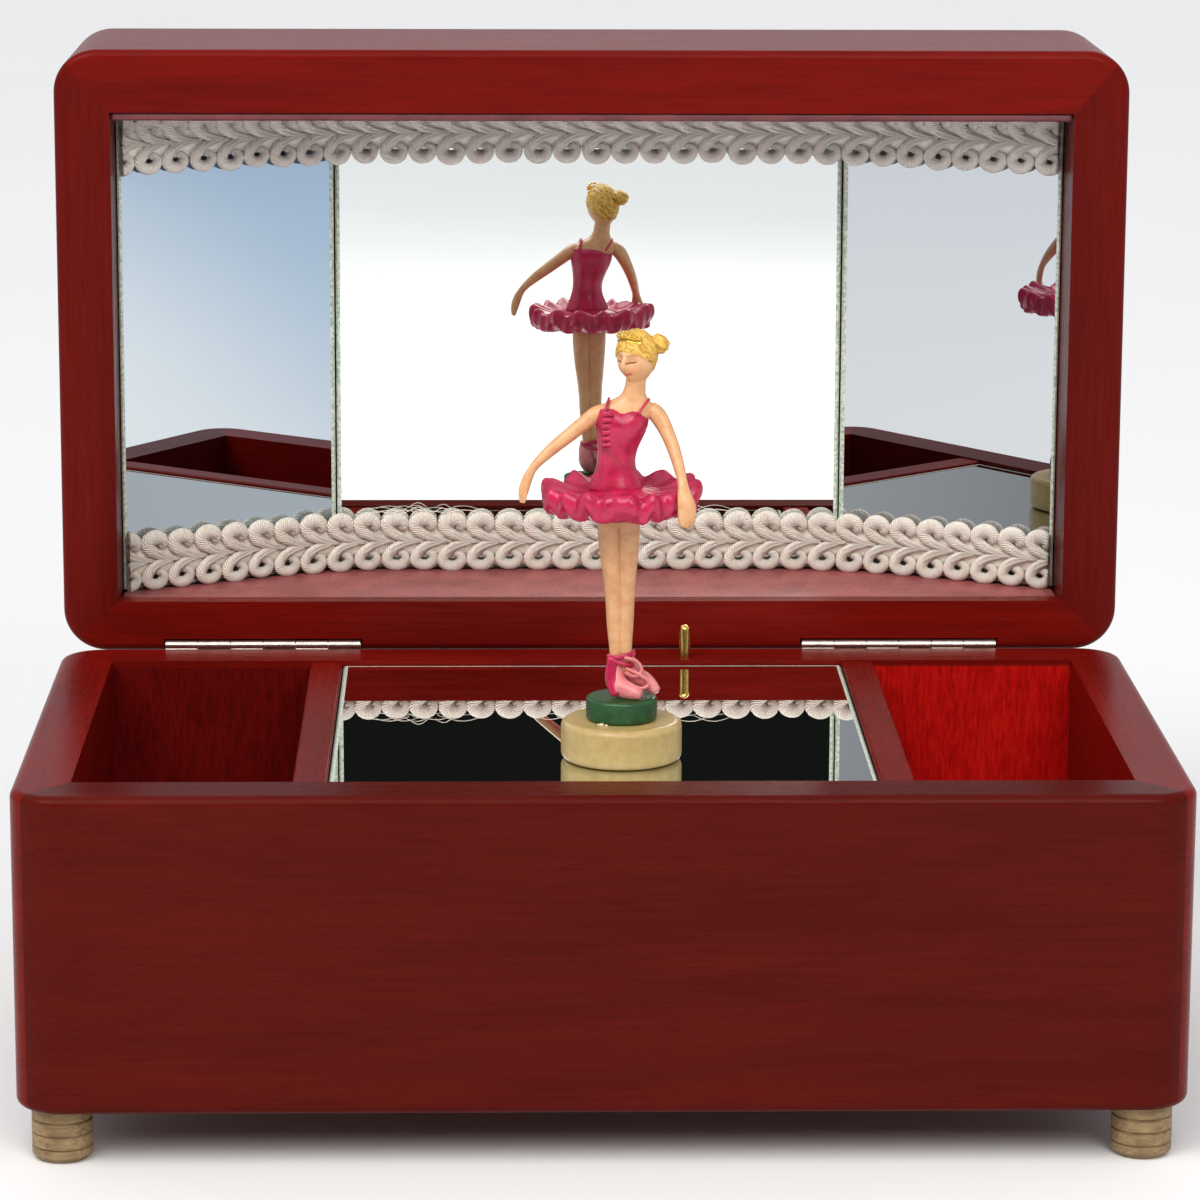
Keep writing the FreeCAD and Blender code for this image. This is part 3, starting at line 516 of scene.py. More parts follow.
@dataclass(frozen=True)
class SilkCord:
    """Off-white silk wound round a core; the threads follow the cord's own map."""

    name: str
    colour: Colour = srgb(255, 250, 240)
    shade: Colour = srgb(220, 204, 182)

    def build(self) -> bpy.types.Material:
        """Makes the material.

        Returns:
            The material.
        """
        s = Shader(self.name)
        uv = s.node("ShaderNodeUVMap", {"uv_map": "Cord"}).outputs[0]
        u, v, _ = s.axes(uv)
        wander = s.noise(s.place(), 1.2, 2)
        threads = (u * 50.0 + v * 9.0 + wander * 5.0).sine() * 0.5 + 0.5
        cloud = s.noise(s.place(), 0.5, 3)
        # painted shade: the colour darkens between the raised threads, along with random cloudy tone
        colour = s.mix((1 - threads) * 0.6 + cloud.step(0.4, 0.8) * 0.3, self.colour, self.shade)
        s.bump(threads, 0.16)
        return s.set(Base_Color=colour, Roughness=0.38 + (cloud - 0.5) * 0.2, Sheen_Weight=0.25, Sheen_Roughness=0.4)


@dataclass(frozen=True)
class Strands:
    """Painted moulded hair with combed grooves."""

    name: str
    centre: Vector
    colour: Colour = srgb(232, 188, 84)
    shade: Colour = srgb(182, 128, 42)

    def build(self) -> bpy.types.Material:
        """Makes the material.

        Returns:
            The material.
        """
        s = Shader(self.name)
        flow = s.place((1.6, 1.6, 0.45), self.centre, (0, 0.9, 0.4))
        groove = s.noise(flow, 1.6, 4, 0.55)
        s.bump(groove, 0.16)
        # painted shade: the colour darkens down into the combed grooves
        return s.set(Base_Color=s.mix(groove.step(0.58, 0.36), self.colour, self.shade), Roughness=0.36)


@dataclass(frozen=True)
class FaceFinish:
    """Skin-coloured plastic with a calm painted doll's face: closed lids, brows and lips, with painted shade in the
    eye sockets.
    """

    name: str
    centre: Vector
    turn: Point
    skin: Colour = srgb(228, 178, 130)
    shade: Colour = srgb(216, 158, 110)

    def build(self) -> bpy.types.Material:
        """Makes the material; the face looks along -Y after the turn, with X across it.

        Returns:
            The material.
        """
        s = Shader(self.name)
        x, y, z = s.axes(s.place(centre=self.centre, turn=self.turn))
        ahead = y.step(-1.2, -1.8)
        cloud = s.noise(s.place(), 0.4, 3)
        colour = s.mix(cloud.step(0.35, 0.8) * 0.5, self.skin, self.shade)
        across = x.size()
        eye = across - 1.15
        bow = eye ** 2
        lash = (z - bow * 0.28 - 0.35).size().step(0.20, 0.08) * eye.size().step(0.85, 0.6)
        brow = (z + bow * 0.20 - 1.6).size().step(0.17, 0.06) * eye.size().step(0.95, 0.7)
        lips = (z + 1.75 + across * across * -0.18).size().step(0.38, 0.22) * across.step(0.98, 0.72)
        cheek = ((across - 1.7) ** 2 + (z + 0.75) ** 2).step(1.3, 0.1)
        colour = s.mix(cheek * ahead * 0.3, colour, srgb(226, 130, 104))
        # painted shade: darker skin round the eyes, for the shade in the sockets
        socket = (bow * 0.6 + (z - 1.0) ** 2).step(0.9, 0.1)
        colour = s.mix(socket * ahead * 0.4, colour, srgb(186, 122, 84))
        colour = s.mix(brow * ahead * 0.55, colour, srgb(150, 96, 50))
        colour = s.mix(lash * ahead * 0.85, colour, srgb(96, 56, 34))
        colour = s.mix(lips * ahead * 0.8, colour, srgb(196, 84, 70))
        s.bump(cloud, 0.01)
        return s.set(Base_Color=colour, Roughness=0.38, Subsurface_Weight=0.12,
                     Subsurface_Radius=(0.0014, 0.0007, 0.0004))


class Palette:
    """Every finish of the object, built once."""

    def __init__(self) -> None:
        """Builds the materials."""
        self.wood_x = StainedWood("lacquered_wood_x", Grain.ALONG_X).build()
        # painted shade: the front board is a darker copy of the same stained wood, for the shade on the upright front
        # face
        self.wood_front = StainedWood("shaded_lacquered_wood_front", Grain.ALONG_X, srgb(70, 12, 8),
                                      srgb(89, 19, 12)).build()
        self.wood_y = StainedWood("lacquered_wood_y", Grain.ALONG_Y).build()
        # painted shade: the lid's side rails take a darker copy of the same stained wood, for the shade on those
        # faces
        self.wood_z = StainedWood("shaded_lacquered_wood_z", Grain.ALONG_Z, srgb(80, 12, 9), srgb(108, 19, 12)).build()
        self.wood_rear = StainedWood("lacquered_wood_rear", Grain.ALONG_X, fibre_panel=True).build()
        self.feet = PlainWood("turned_wood", Grain.ALONG_X, srgb(106, 84, 54), srgb(162, 136, 98), 0.5).build()
        self.ply = PlainWood("stained_ply", Grain.ALONG_X, srgb(84, 34, 24), srgb(128, 58, 40)).build()
        self.mirror = MirrorFace("mirror_face").build()
        # painted reflection: the wings' blue-grey colours stand for what they reflect
        self.left_wing = MirrorFace("mirror_left_wing_painted_reflection", (0.33, 0.44, 0.57), (0.60, 0.65, 0.68), 0.8).build()
        self.right_wing = MirrorFace("mirror_right_wing_painted_reflection", (0.52, 0.56, 0.60), (0.59, 0.61, 0.63)).build()
        self.glass_edge = GlassEdge("glass_edge").build()
        self.satin = Satin("rose_satin").build()
        self.felt = Satin("lining_satin", srgb(128, 62, 66), srgb(88, 36, 42)).build()
        self.silk = SilkCord("silk_gimp").build()
        # painted light: the upper trim takes a lighter copy of the same silk, for the lamp light that it catches
        self.painted_light_silk = SilkCord("painted_light_silk_gimp", srgb(255, 253, 247), srgb(250, 240, 226)).build()
        self.nickel = Metal("nickel", srgb(205, 196, 184), srgb(140, 124, 108), 0.26).build()
        self.steel = Metal("bright_steel", srgb(186, 186, 190), srgb(120, 118, 120), 0.3).build()
        self.brass = Metal("polished_brass", srgb(222, 184, 104), srgb(168, 122, 58), 0.22, Grain.ALONG_Z).build()
        self.casting = Metal("grey_casting", srgb(130, 128, 126), srgb(84, 82, 80), 0.5).build()
        self.magnet = Metal("sintered_magnet", srgb(88, 88, 92), srgb(56, 56, 60), 0.45).build()
        self.white = Moulded("white_plastic", srgb(226, 222, 212), srgb(206, 200, 186), 0.4, 0.05).build()
        self.cream = Moulded("cream_plastic", srgb(188, 164, 108), srgb(176, 150, 94), 0.3, 0.12, 0.02).build()
        self.green = Moulded("green_paint", srgb(28, 82, 36), srgb(18, 58, 26), 0.32, 0.0, 0.08).build()
        self.skin = Moulded("skin_plastic", srgb(221, 171, 123), srgb(207, 149, 101), 0.34, 0.1).build()
        self.dress = Moulded("magenta_paint", srgb(194, 30, 78), srgb(160, 20, 60), 0.26, 0.04, 0.05).build()
        self.shoe = Moulded("pink_paint", srgb(226, 142, 142), srgb(206, 108, 112), 0.34, 0.08, 0.04).build()
        self.gold = Metal("gold_paint", srgb(240, 200, 96), srgb(190, 140, 50), 0.24).build()
        self.bead = Moulded("dried_glue", srgb(240, 232, 200), srgb(210, 196, 150), 0.12, 0.1).build()


# ------------------------------------------------------------------ mesh helpers


@dataclass
class Station:
    """One ring of a sweep: its centre in bench or local millimetres and its two radii."""

    centre: Point
    wide: float
    deep: float


def finish_piece(bm: bmesh.types.BMesh, name: str, body: str,
                 materials: Sequence[bpy.types.Material], replaced: Sequence[str] = (),
                 smooth: bool = True) -> bpy.types.Object:
    """Turns a bmesh in metres into a piece that rides on a body.

    Args:
        bm: the mesh, freed here.
        name: the piece's name.
        body: the body it rides on.
        materials: its materials, in slot order.
        replaced: CAD nodes that it stands for.
        smooth: whether its faces are shaded smooth.

    Returns:
        The object.
    """
    for face in bm.faces:
        face.smooth = smooth
    mesh = bpy.data.meshes.new(name)
    bm.to_mesh(mesh)
    bm.free()
    piece = bpy.data.objects.new(name, mesh)
    bpy.context.scene.collection.objects.link(piece)
    for material in materials:
        mesh.materials.append(material)
    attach(piece, body)
    if replaced:
        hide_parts(*replaced)
    log.info("%s: %d faces on %s", name, len(mesh.polygons), body)
    return piece


def subdivided(piece: bpy.types.Object, levels: int = 1) -> bpy.types.Object:
    """Adds a Subdivision Surface modifier.

    Args:
        piece: the piece.
        levels: its levels, in the view and in the render.

    Returns:
        The piece.
    """
    modifier = piece.modifiers.new("Subdivision", "SUBSURF")
    modifier.levels = modifier.render_levels = levels
    return piece


def ring_matrix(centre: Vector, ahead: Vector, side: Vector) -> Matrix:
    """A placing whose Z looks ahead and whose X lies towards side.

    Args:
        centre: its origin.
        ahead: the way along the sweep.
        side: the wide direction, not yet square to it.

    Returns:
        The placing.
    """
    z = ahead.normalized()
    x = (side - z * side.dot(z)).normalized()
    y = z.cross(x)
    return Matrix(((x.x, y.x, z.x, centre.x), (x.y, y.y, z.y, centre.y), (x.z, y.z, z.z, centre.z), (0, 0, 0, 1)))


def sweep(bm: bmesh.types.BMesh, stations: Sequence[Station], sides: int, side: Point = (1, 0, 0),
          level: bool = False, across: Sequence[Vector] = ()) -> None:
    """Sweeps an oval ring through stations with extrusions and closes both ends.

    Args:
        bm: the mesh that it is added to.
        stations: the rings in order.
        sides: corners of a ring.
        side: the direction of each ring's wide radius.
        level: whether every ring lies flat.
        across: each ring's own wide direction; a cord's map is then written too.
    """
    uv = (bm.loops.layers.uv.get("Cord") or bm.loops.layers.uv.new("Cord")) if across else None
    centres = [Vector(s.centre) for s in stations]
    last = len(stations) - 1
    placings = []
    for i, station in enumerate(stations):
        ahead = Vector((0, 0, 1)) if level else centres[min(i + 1, last)] - centres[max(i - 1, 0)]
        towards = across[i] if across else Vector(side)
        placings.append(ring_matrix(centres[i], ahead, towards) @ Matrix.Diagonal((station.wide, station.deep, 1, 1)))
    ring = bmesh.ops.create_circle(bm, cap_ends=False, segments=sides, radius=1.0, matrix=placings[0])["verts"]
    edges = list(dict.fromkeys(edge for vert in ring for edge in vert.link_edges))
    first = list(edges)
    for i in range(1, last + 1):
        made = bmesh.ops.extrude_edge_only(bm, edges=edges)["geom"]
        verts = [g for g in made if isinstance(g, bmesh.types.BMVert)]
        fresh = set(verts)
        edges = [g for g in made if isinstance(g, bmesh.types.BMEdge) and all(v in fresh for v in g.verts)]
        if uv:
            for face in (g for g in made if isinstance(g, bmesh.types.BMFace)):
                map_cord_face(face, uv, placings[i - 1], fresh, i)
        bmesh.ops.transform(bm, matrix=placings[i] @ placings[i - 1].inverted(), verts=verts)
    for loop in (first, edges):
        bmesh.ops.edgeloop_fill(bm, edges=loop)


def map_cord_face(face: bmesh.types.BMFace, uv: bmesh.types.BMLayerItem, placing: Matrix,
                  new: set[bmesh.types.BMVert], row: int) -> None:
    """Writes one wall face's map: u is the turn around the cord and v the row along it.

    Args:
        face: the face.
        uv: the map's layer.
        placing: the last ring's placing.
        new: the vertices of the next ring.
        row: the next ring's number.
    """
    back = placing.inverted()
    turns = []
    for loop in face.loops:
        local = back @ loop.vert.co
        turns.append((math.atan2(local.y, local.x) / math.tau) % 1)
    if max(turns) - min(turns) > 0.5:
        turns = [t + 1 if t < 0.5 else t for t in turns]
    for loop, turn in zip(face.loops, turns):
        loop[uv].uv = (turn, row if loop.vert in new else row - 1)


def arc_through(points: Sequence[Point], steps: int) -> list[Vector]:
    """A smooth curve through points, as a chain of cardinal spans.

    Args:
        points: the points.
        steps: divisions of each span.

    Returns:
        The curve's points.
    """
    knots = [Vector(p) for p in points]
    knots = [knots[0] * 2 - knots[1], *knots, knots[-1] * 2 - knots[-2]]
    curve = []
    for a, b, c, d in zip(knots, knots[1:], knots[2:], knots[3:]):
        for k in range(steps):
            t = k / steps
            curve.append(0.5 * ((2 * b) + (c - a) * t + (2 * a - 5 * b + 4 * c - d) * t * t
                                + (3 * b - a - 3 * c + d) * t ** 3))
    return curve + [knots[-2]]


def plain_rings(rows: Sequence[Row]) -> list[Station]:
    """Stations straight from rows of x, y, z and two radii."""
    return [Station(row[:3], *row[3:]) for row in rows]


def smooth_rings(rows: Sequence[Row], steps: int) -> list[Station]:
    """Stations on a smooth curve through rows of x, y, z and two radii.

    Args:
        rows: the rows.
        steps: divisions of each span.

    Returns:
        The stations.
    """
    line = arc_through([row[:3] for row in rows], steps)
    radii = arc_through([(*row[3:], 0) for row in rows], steps)
    return [Station(tuple(c), r.x, r.y) for c, r in zip(line, radii)]


def even_rings(points: Sequence[Point], wide: float, deep: float, steps: int = 4) -> list[Station]:
    """Stations of one size on a smooth curve.

    Args:
        points: the curve's points.
        wide, deep: the radii.
        steps: divisions of each span.

    Returns:
        The stations.
    """
    return [Station(tuple(p), wide, deep) for p in arc_through(points, steps)]


def to_frame(bm: bmesh.types.BMesh, origin: Vector) -> None:
    """Turns a whole mesh from local millimetres to the frame's metres about an origin."""
    bmesh.ops.transform(bm, matrix=Matrix.Translation(origin) @ Matrix.Scale(MM, 4), verts=bm.verts)


def tidy_shell(bm: bmesh.types.BMesh) -> None:
    """Merges doubles and turns every face outwards."""
    bmesh.ops.remove_doubles(bm, verts=bm.verts, dist=1e-7)
    bmesh.ops.recalc_face_normals(bm, faces=bm.faces)


def node_shell(node: str) -> bmesh.types.BMesh:
    """A CAD node's mesh with its flat faces whole.

    Args:
        node: the CAD node.

    Returns:
        A new bmesh in the frame's metres.
    """
    bm = bmesh.new()
    bm.from_mesh(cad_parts[node].data)
    bmesh.ops.remove_doubles(bm, verts=bm.verts, dist=2e-6)
    bmesh.ops.dissolve_limit(bm, angle_limit=0.02, verts=bm.verts, edges=bm.edges)
    return bm


# ------------------------------------------------------------------ woodwork and metal


@dataclass
class CadFinishes:
    """Finishes for the CAD parts that keep their own shape."""

    palette: Palette
    worn: dict[str, tuple[str, ...]] = field(default_factory=lambda: {
        # painted shade: the darker copy of the wood goes on the front board
        "wood_front": ("front_board",),
        "wood_x": ("lid_lower_rail", "lid_upper_rail", "lid_panel"),
        "wood_rear": ("rear_board",),
        "wood_y": ("left_board", "right_board", "left_divider", "right_divider"),
        # painted shade: the darker copy of the wood goes on the lid's side rails
        "wood_z": ("lid_left_rail", "lid_right_rail"),
        "feet": ("feet",),
        "ply": ("bottom_panel", "plate_cleats", "comb_block"),
        "nickel": ("case_hinge_leaves", "hinge_pins", "lid_hinge_leaves", "winding_key"),
        "steel": ("movement_screws", "mainspring", "winding_arbor", "arm_shaft", "comb", "bridge_pillars",
                  "stop_lever", "lever_bracket", "governor_worm"),
        "brass": ("great_wheel", "arm_pinion", "pin_cylinder", "cylinder_gear", "stop_pin", "spring_housing"),
        "casting": ("bedplate", "bearing_brackets", "bridge_plate", "magnet_arm"),
        "white": ("sun_gear", "planet_gear", "idler_wheel", "governor_fan"),
        "magnet": ("disc_magnet", "carrier_magnet"),
        "cream": ("dancer_disc",),
        "green": ("dancer_base",),
    })

    def dress(self) -> None:
        """Assigns each node's finish."""
        for finish, nodes in self.worn.items():
            material = getattr(self.palette, finish)
            for node in nodes:
                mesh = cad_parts[node].data
                mesh.materials.clear()
                mesh.materials.append(material)
            log.info("%s on %d nodes", finish, len(nodes))


@dataclass
class Glazing:
    """The glass plate and the three lid mirrors, with ground edges."""

    palette: Palette
    ground: float = 0.35
    seen_edge: float = 0.5

    def build(self) -> None:
        """Makes every glass sheet from its node's own outline."""
        for node, body, face in (("mirror_plate", "case", self.palette.mirror),
                                 ("centre_mirror", "lid", self.palette.mirror),
                                 ("left_mirror", "lid", self.palette.left_wing),
                                 ("right_mirror", "lid", self.palette.right_wing)):
            self.sheet(node, body, face)

    def sheet(self, node: str, body: str, silver: bpy.types.Material) -> None:
        """One sheet: a copy of the node with ground edges, silvered faces and green cut edges.

        Args:
            node: the CAD node.
            body: its body.
            silver: the finish of its faces.
        """
        bm = node_shell(node)
        bmesh.ops.bevel(bm, geom=list(bm.edges), offset=self.ground * MM, offset_type="OFFSET", segments=1,
                        profile=0.5, affect="EDGES", material=-1)
        largest = max(face.calc_area() for face in bm.faces)
        silvered = [face for face in bm.faces if face.calc_area() > largest * 0.8]
        bmesh.ops.inset_individual(bm, faces=silvered, thickness=self.seen_edge * MM, use_even_offset=True)
        for face in bm.faces:
            face.material_index = 0 if face in silvered else 1
        finish_piece(bm, f"{node}_glass", body, (silver, self.palette.glass_edge),
                     (node,), smooth=False)


# ------------------------------------------------------------------ lid lining


@dataclass
class BayPath:
    """The line that the mirrors' faces follow in plan, from the left rail to the right one."""

    set_off: float
    soften: float = 5.0
    points: list[Vector] = field(init=False)

    def __post_init__(self) -> None:
        """Reads the bay's corners from the mirrors and rounds its two inner ones."""
        centre_low, centre_high = Bench.box("centre_mirror")
        left_low, _ = Bench.box("left_mirror")
        right_low, right_high = Bench.box("right_mirror")
        deep, inner_l, inner_r = centre_low.y, centre_low.x - 0.3, centre_high.x + 0.3
        knots = [Vector((left_low.x, left_low.y, 0)), Vector((inner_l, deep, 0)), Vector((inner_r, deep, 0)),
                 Vector((right_high.x, right_low.y, 0))]
        line = [knots[0]]
        for before, corner, after in zip(knots, knots[1:], knots[2:]):
            start = corner + (before - corner).normalized() * self.soften
            end = corner + (after - corner).normalized() * self.soften
            line += [start.lerp(corner, t).lerp(corner.lerp(end, t), t) for t in (0, 0.25, 0.5, 0.75, 1)]
        line.append(knots[-1])
        self.points = line

    def length(self) -> float:
        """The path's length."""
        return sum((b - a).length for a, b in zip(self.points, self.points[1:]))

    def at(self, run: float) -> tuple[Vector, Vector]:
        """The point at a run along the path.

        Args:
            run: millimetres from the path's start.

        Returns:
            The point, and the way into the room there.
        """
        for a, b in zip(self.points, self.points[1:]):
            span = (b - a).length
            if run <= span or b is self.points[-1]:
                ahead = (b - a).normalized()
                inward = Vector((ahead.y, -ahead.x, 0))
                return a + ahead * run + inward * self.set_off, inward
            run -= span
        return self.points[-1], Vector((0, -1, 0))


@dataclass
class GimpBraid:
    """French gimp: hooked cords laid in a wheat-ear pattern, with a curled loop on each edge."""

    name: str
    node: str
    silk: bpy.types.Material
    frayed: tuple[float, ...] = ()
    fibre: float = 0.07
    band_wide: float = 6.2
    band_thick: float = 0.4
    band_behind: float = 0.55
    band_end: float = 0.8
    band_steps: int = 80
    pitch: float = 5.6
    thick: float = 0.95
    sides: int = 10
    away: float = 0.45
    hook_low: tuple[Point, ...] = ((7.6, 0.2, 0.25), (5.2, -0.1, 0.62), (2.9, -0.7, 0.85), (1.0, -2.0, 1.05),
                                   (0.35, -3.7, 1.15), (1.5, -4.75, 1.15), (3.1, -4.6, 1.1), (3.9, -3.4, 1.0),
                                   (3.3, -2.5, 0.8), (2.5, -2.7, 0.5))
    hook_high: tuple[Point, ...] = ((7.9, -0.2, 0.25), (5.4, 0.2, 0.62), (3.0, 0.9, 0.9), (1.1, 2.1, 1.25),
                                    (0.6, 3.6, 1.5), (1.9, 4.35, 1.6), (3.2, 4.1, 1.5), (3.7, 3.2, 1.25),
                                    (3.2, 2.5, 0.9))

    def build(self) -> bpy.types.Object:
        """Makes the whole trim.

        Returns:
            The trim.
        """
        low, high = Bench.box(self.node)
        middle = (low.z + high.z) / 2
        path = BayPath(self.thick + self.away, 14.0)
        units = [self.flat_unit(self.hook_high), self.flat_unit(self.hook_low)]
        count = int((path.length() - 1.0) / self.pitch)
        start = (path.length() - count * self.pitch) / 2
        bm = bmesh.new()
        bm.loops.layers.uv.new("Cord")
        self.backing(bm, path, middle)
        self.fray(bm, path, high.z)
        for index in range(count + 1):
            for side, unit in enumerate(units):
                first = len(bm.verts)
                bm.from_mesh(unit)
                bm.verts.ensure_lookup_table()
                self.bend(bm.verts[first:], path, start + (index - 0.55) * self.pitch, middle, index + 91 * side)
        for unit in units:
            bpy.data.meshes.remove(unit)
        bmesh.ops.recalc_face_normals(bm, faces=bm.faces)
        return finish_piece(bm, self.name, "lid", (self.silk,), (self.node,))

    def backing(self, bm: bmesh.types.BMesh, path: BayPath, middle: float) -> None:
        """The flat woven band that the cords are stitched to.

        Args:
            bm: the trim's mesh.
            path: the line that the trim follows.
            middle: the height of the trim's spine.
        """
        rings = []
        for step in range(self.band_steps + 1):
            point, inward = path.at(self.band_end + (path.length() - 2 * self.band_end) * step / self.band_steps)
            place = point - inward * self.band_behind
            rings.append(Station(tuple(Bench.point(place.x, place.y, middle)), self.band_wide * MM / 2,
                                 self.band_thick * MM / 2))
        sweep(bm, rings, self.sides, (0, 0, 1))

    def fray(self, bm: bmesh.types.BMesh, path: BayPath, edge: float) -> None:
        """Draws out a few loose fibres of silk above the trim's upper edge.

        Args:
            bm: the trim's mesh.
            path: the line that the trim follows.
            edge: the height of the upper edge.
        """
        for index, share in enumerate(self.frayed):
            drift = noise.noise_vector(Vector((index * 2.3, 7.7, share * 40)))
            loose = []
            for step in range(6):
                rise = math.sin(step * 0.55) * (1.15 + drift.x * 0.9)
                point, inward = path.at(path.length() * share + step * (1.2 + drift.y * 0.9) * (-1) ** index)
                place = point + inward * (0.6 + 0.2 * math.sin(step + index))
                spot = Bench.point(place.x, place.y, edge - 0.4 + rise)
                loose.append(Station(tuple(spot), self.fibre * MM, self.fibre * MM))
            sweep(bm, loose, 5, (0, -1, 0))

    def flat_unit(self, hook: Sequence[Point]) -> bpy.types.Mesh:
        """One hooked cord and its two ridges, laid flat: X along the trim, Y out of it, Z across it.

        Args:
            hook: run, height and radius of the cord's points.

        Returns:
            A mesh in millimetres.
        """
        line = arc_through([(u, v, r) for u, v, r in hook], 3)
        total = len(line) - 1
        bm = bmesh.new()
        for ridge, reach, aside in ((False, 1.0, 0.0), (True, 0.52, 0.25), (True, 0.36, -0.45)):
            rings = []
            for step, (u, v, radius) in enumerate(line):
                if ridge and not total * 0.04 < step < total * reach:
                    continue
                lift = 0.78 * min(self.thick, radius) if ridge else 0.25 * math.sin(math.pi * step / total)
                out = radius * aside * (-1 if v > 0 else 1)
                size = (0.3, 0.32) if ridge else (radius, min(self.thick, radius * 0.85))
                rings.append(Station((u, -lift, v + out), *size))
            ahead = [Vector(b.centre) - Vector(a.centre) for a, b in zip(rings, rings[1:])]
            across = [way.cross(Vector((0, 1, 0))) for way in (*ahead, ahead[-1])]
            sweep(bm, rings, self.sides, across=across)
        mesh = bpy.data.meshes.new(f"{self.name}_unit")
        bm.to_mesh(mesh)
        bm.free()
        return mesh

    def bend(self, verts: Iterable[bmesh.types.BMVert], path: BayPath, start: float, middle: float,
             seed: int) -> None:
        """Lays a flat unit along the path.

        Args:
            verts: the unit's vertices.
            path: the line that the trim follows.
            start: the unit's place along it.
            middle: the height of the trim's spine.
            seed: picks the unit's small irregularity.
        """
        wobble = noise.noise_vector(Vector((seed * 1.7, seed * 0.9, 3.1)))
        grow = 1 + wobble.z * 0.05
        for vert in verts:
            run = start + (vert.co.x + wobble.x * 0.22) * grow
            point, inward = path.at(min(max(run, 0.3), path.length() - 0.3))
            place = point - inward * vert.co.y
            vert.co = Bench.point(place.x, place.y, middle + (vert.co.z + wobble.y * 0.2) * grow)


@dataclass
class Padding:
    """Satin-covered boards: the two ledges of the lid bay and the two floor pads of the compartments."""

    palette: Palette
    crown: float = 0.5
    cell: float = 4.0
    edge_share: float = 0.42

    def build(self) -> None:
        """Makes the four pads."""
        for node, up, cloth in (("lower_ledge", 1, self.palette.satin), ("upper_ledge", -1, self.palette.felt)):
            self.pad(node, "lid", up, cloth, "satin_" + node)
        for node in ("left_floor_pad", "right_floor_pad"):
            self.pad(node, "case", 1, self.palette.felt, "lining_" + node)

    def pad(self, node: str, body: str, up: int, material: bpy.types.Material, name: str) -> None:
        """One pad: the node's outline, cut into cells, rounded at its edges and softly crowned.

        Args:
            node: the CAD node.
            body: its body.
            up: 1 if the seen face looks up, -1 if down.
            material: the cloth.
            name: the piece's name.
        """
        bm = node_shell(node)
        low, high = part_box(node)
        thick = high.z - low.z
        bmesh.ops.bevel(bm, geom=list(bm.edges), offset=thick * self.edge_share, offset_type="OFFSET", segments=3,
                        profile=0.5, affect="EDGES", material=-1)
        for axis in (0, 1):
            count = int((high[axis] - low[axis]) / (self.cell * MM))
            normal = Vector((1 - axis, axis, 0))
            for index in range(1, count):
                spot = low.copy()
                spot[axis] += (high[axis] - low[axis]) * index / count
                bmesh.ops.bisect_plane(bm, geom=[*bm.verts, *bm.edges, *bm.faces], dist=1e-7, plane_co=spot,
                                       plane_no=normal)
        seen = low.z + thick * (0.5 + 0.45 * up)
        for vert in bm.verts:
            if (vert.co.z - seen) * up > -1e-6:
                pucker = noise.noise(vert.co * 90) * 0.35 + noise.noise(vert.co * 260) * 0.15
                vert.co.z += up * pucker * self.crown * MM * 0.6
        bmesh.ops.triangulate(bm, faces=[f for f in bm.faces if len(f.verts) > 4])
        bmesh.ops.recalc_face_normals(bm, faces=bm.faces)
        piece = finish_piece(bm, name, body, (material,), (node,))


# ------------------------------------------------------------------ dancer


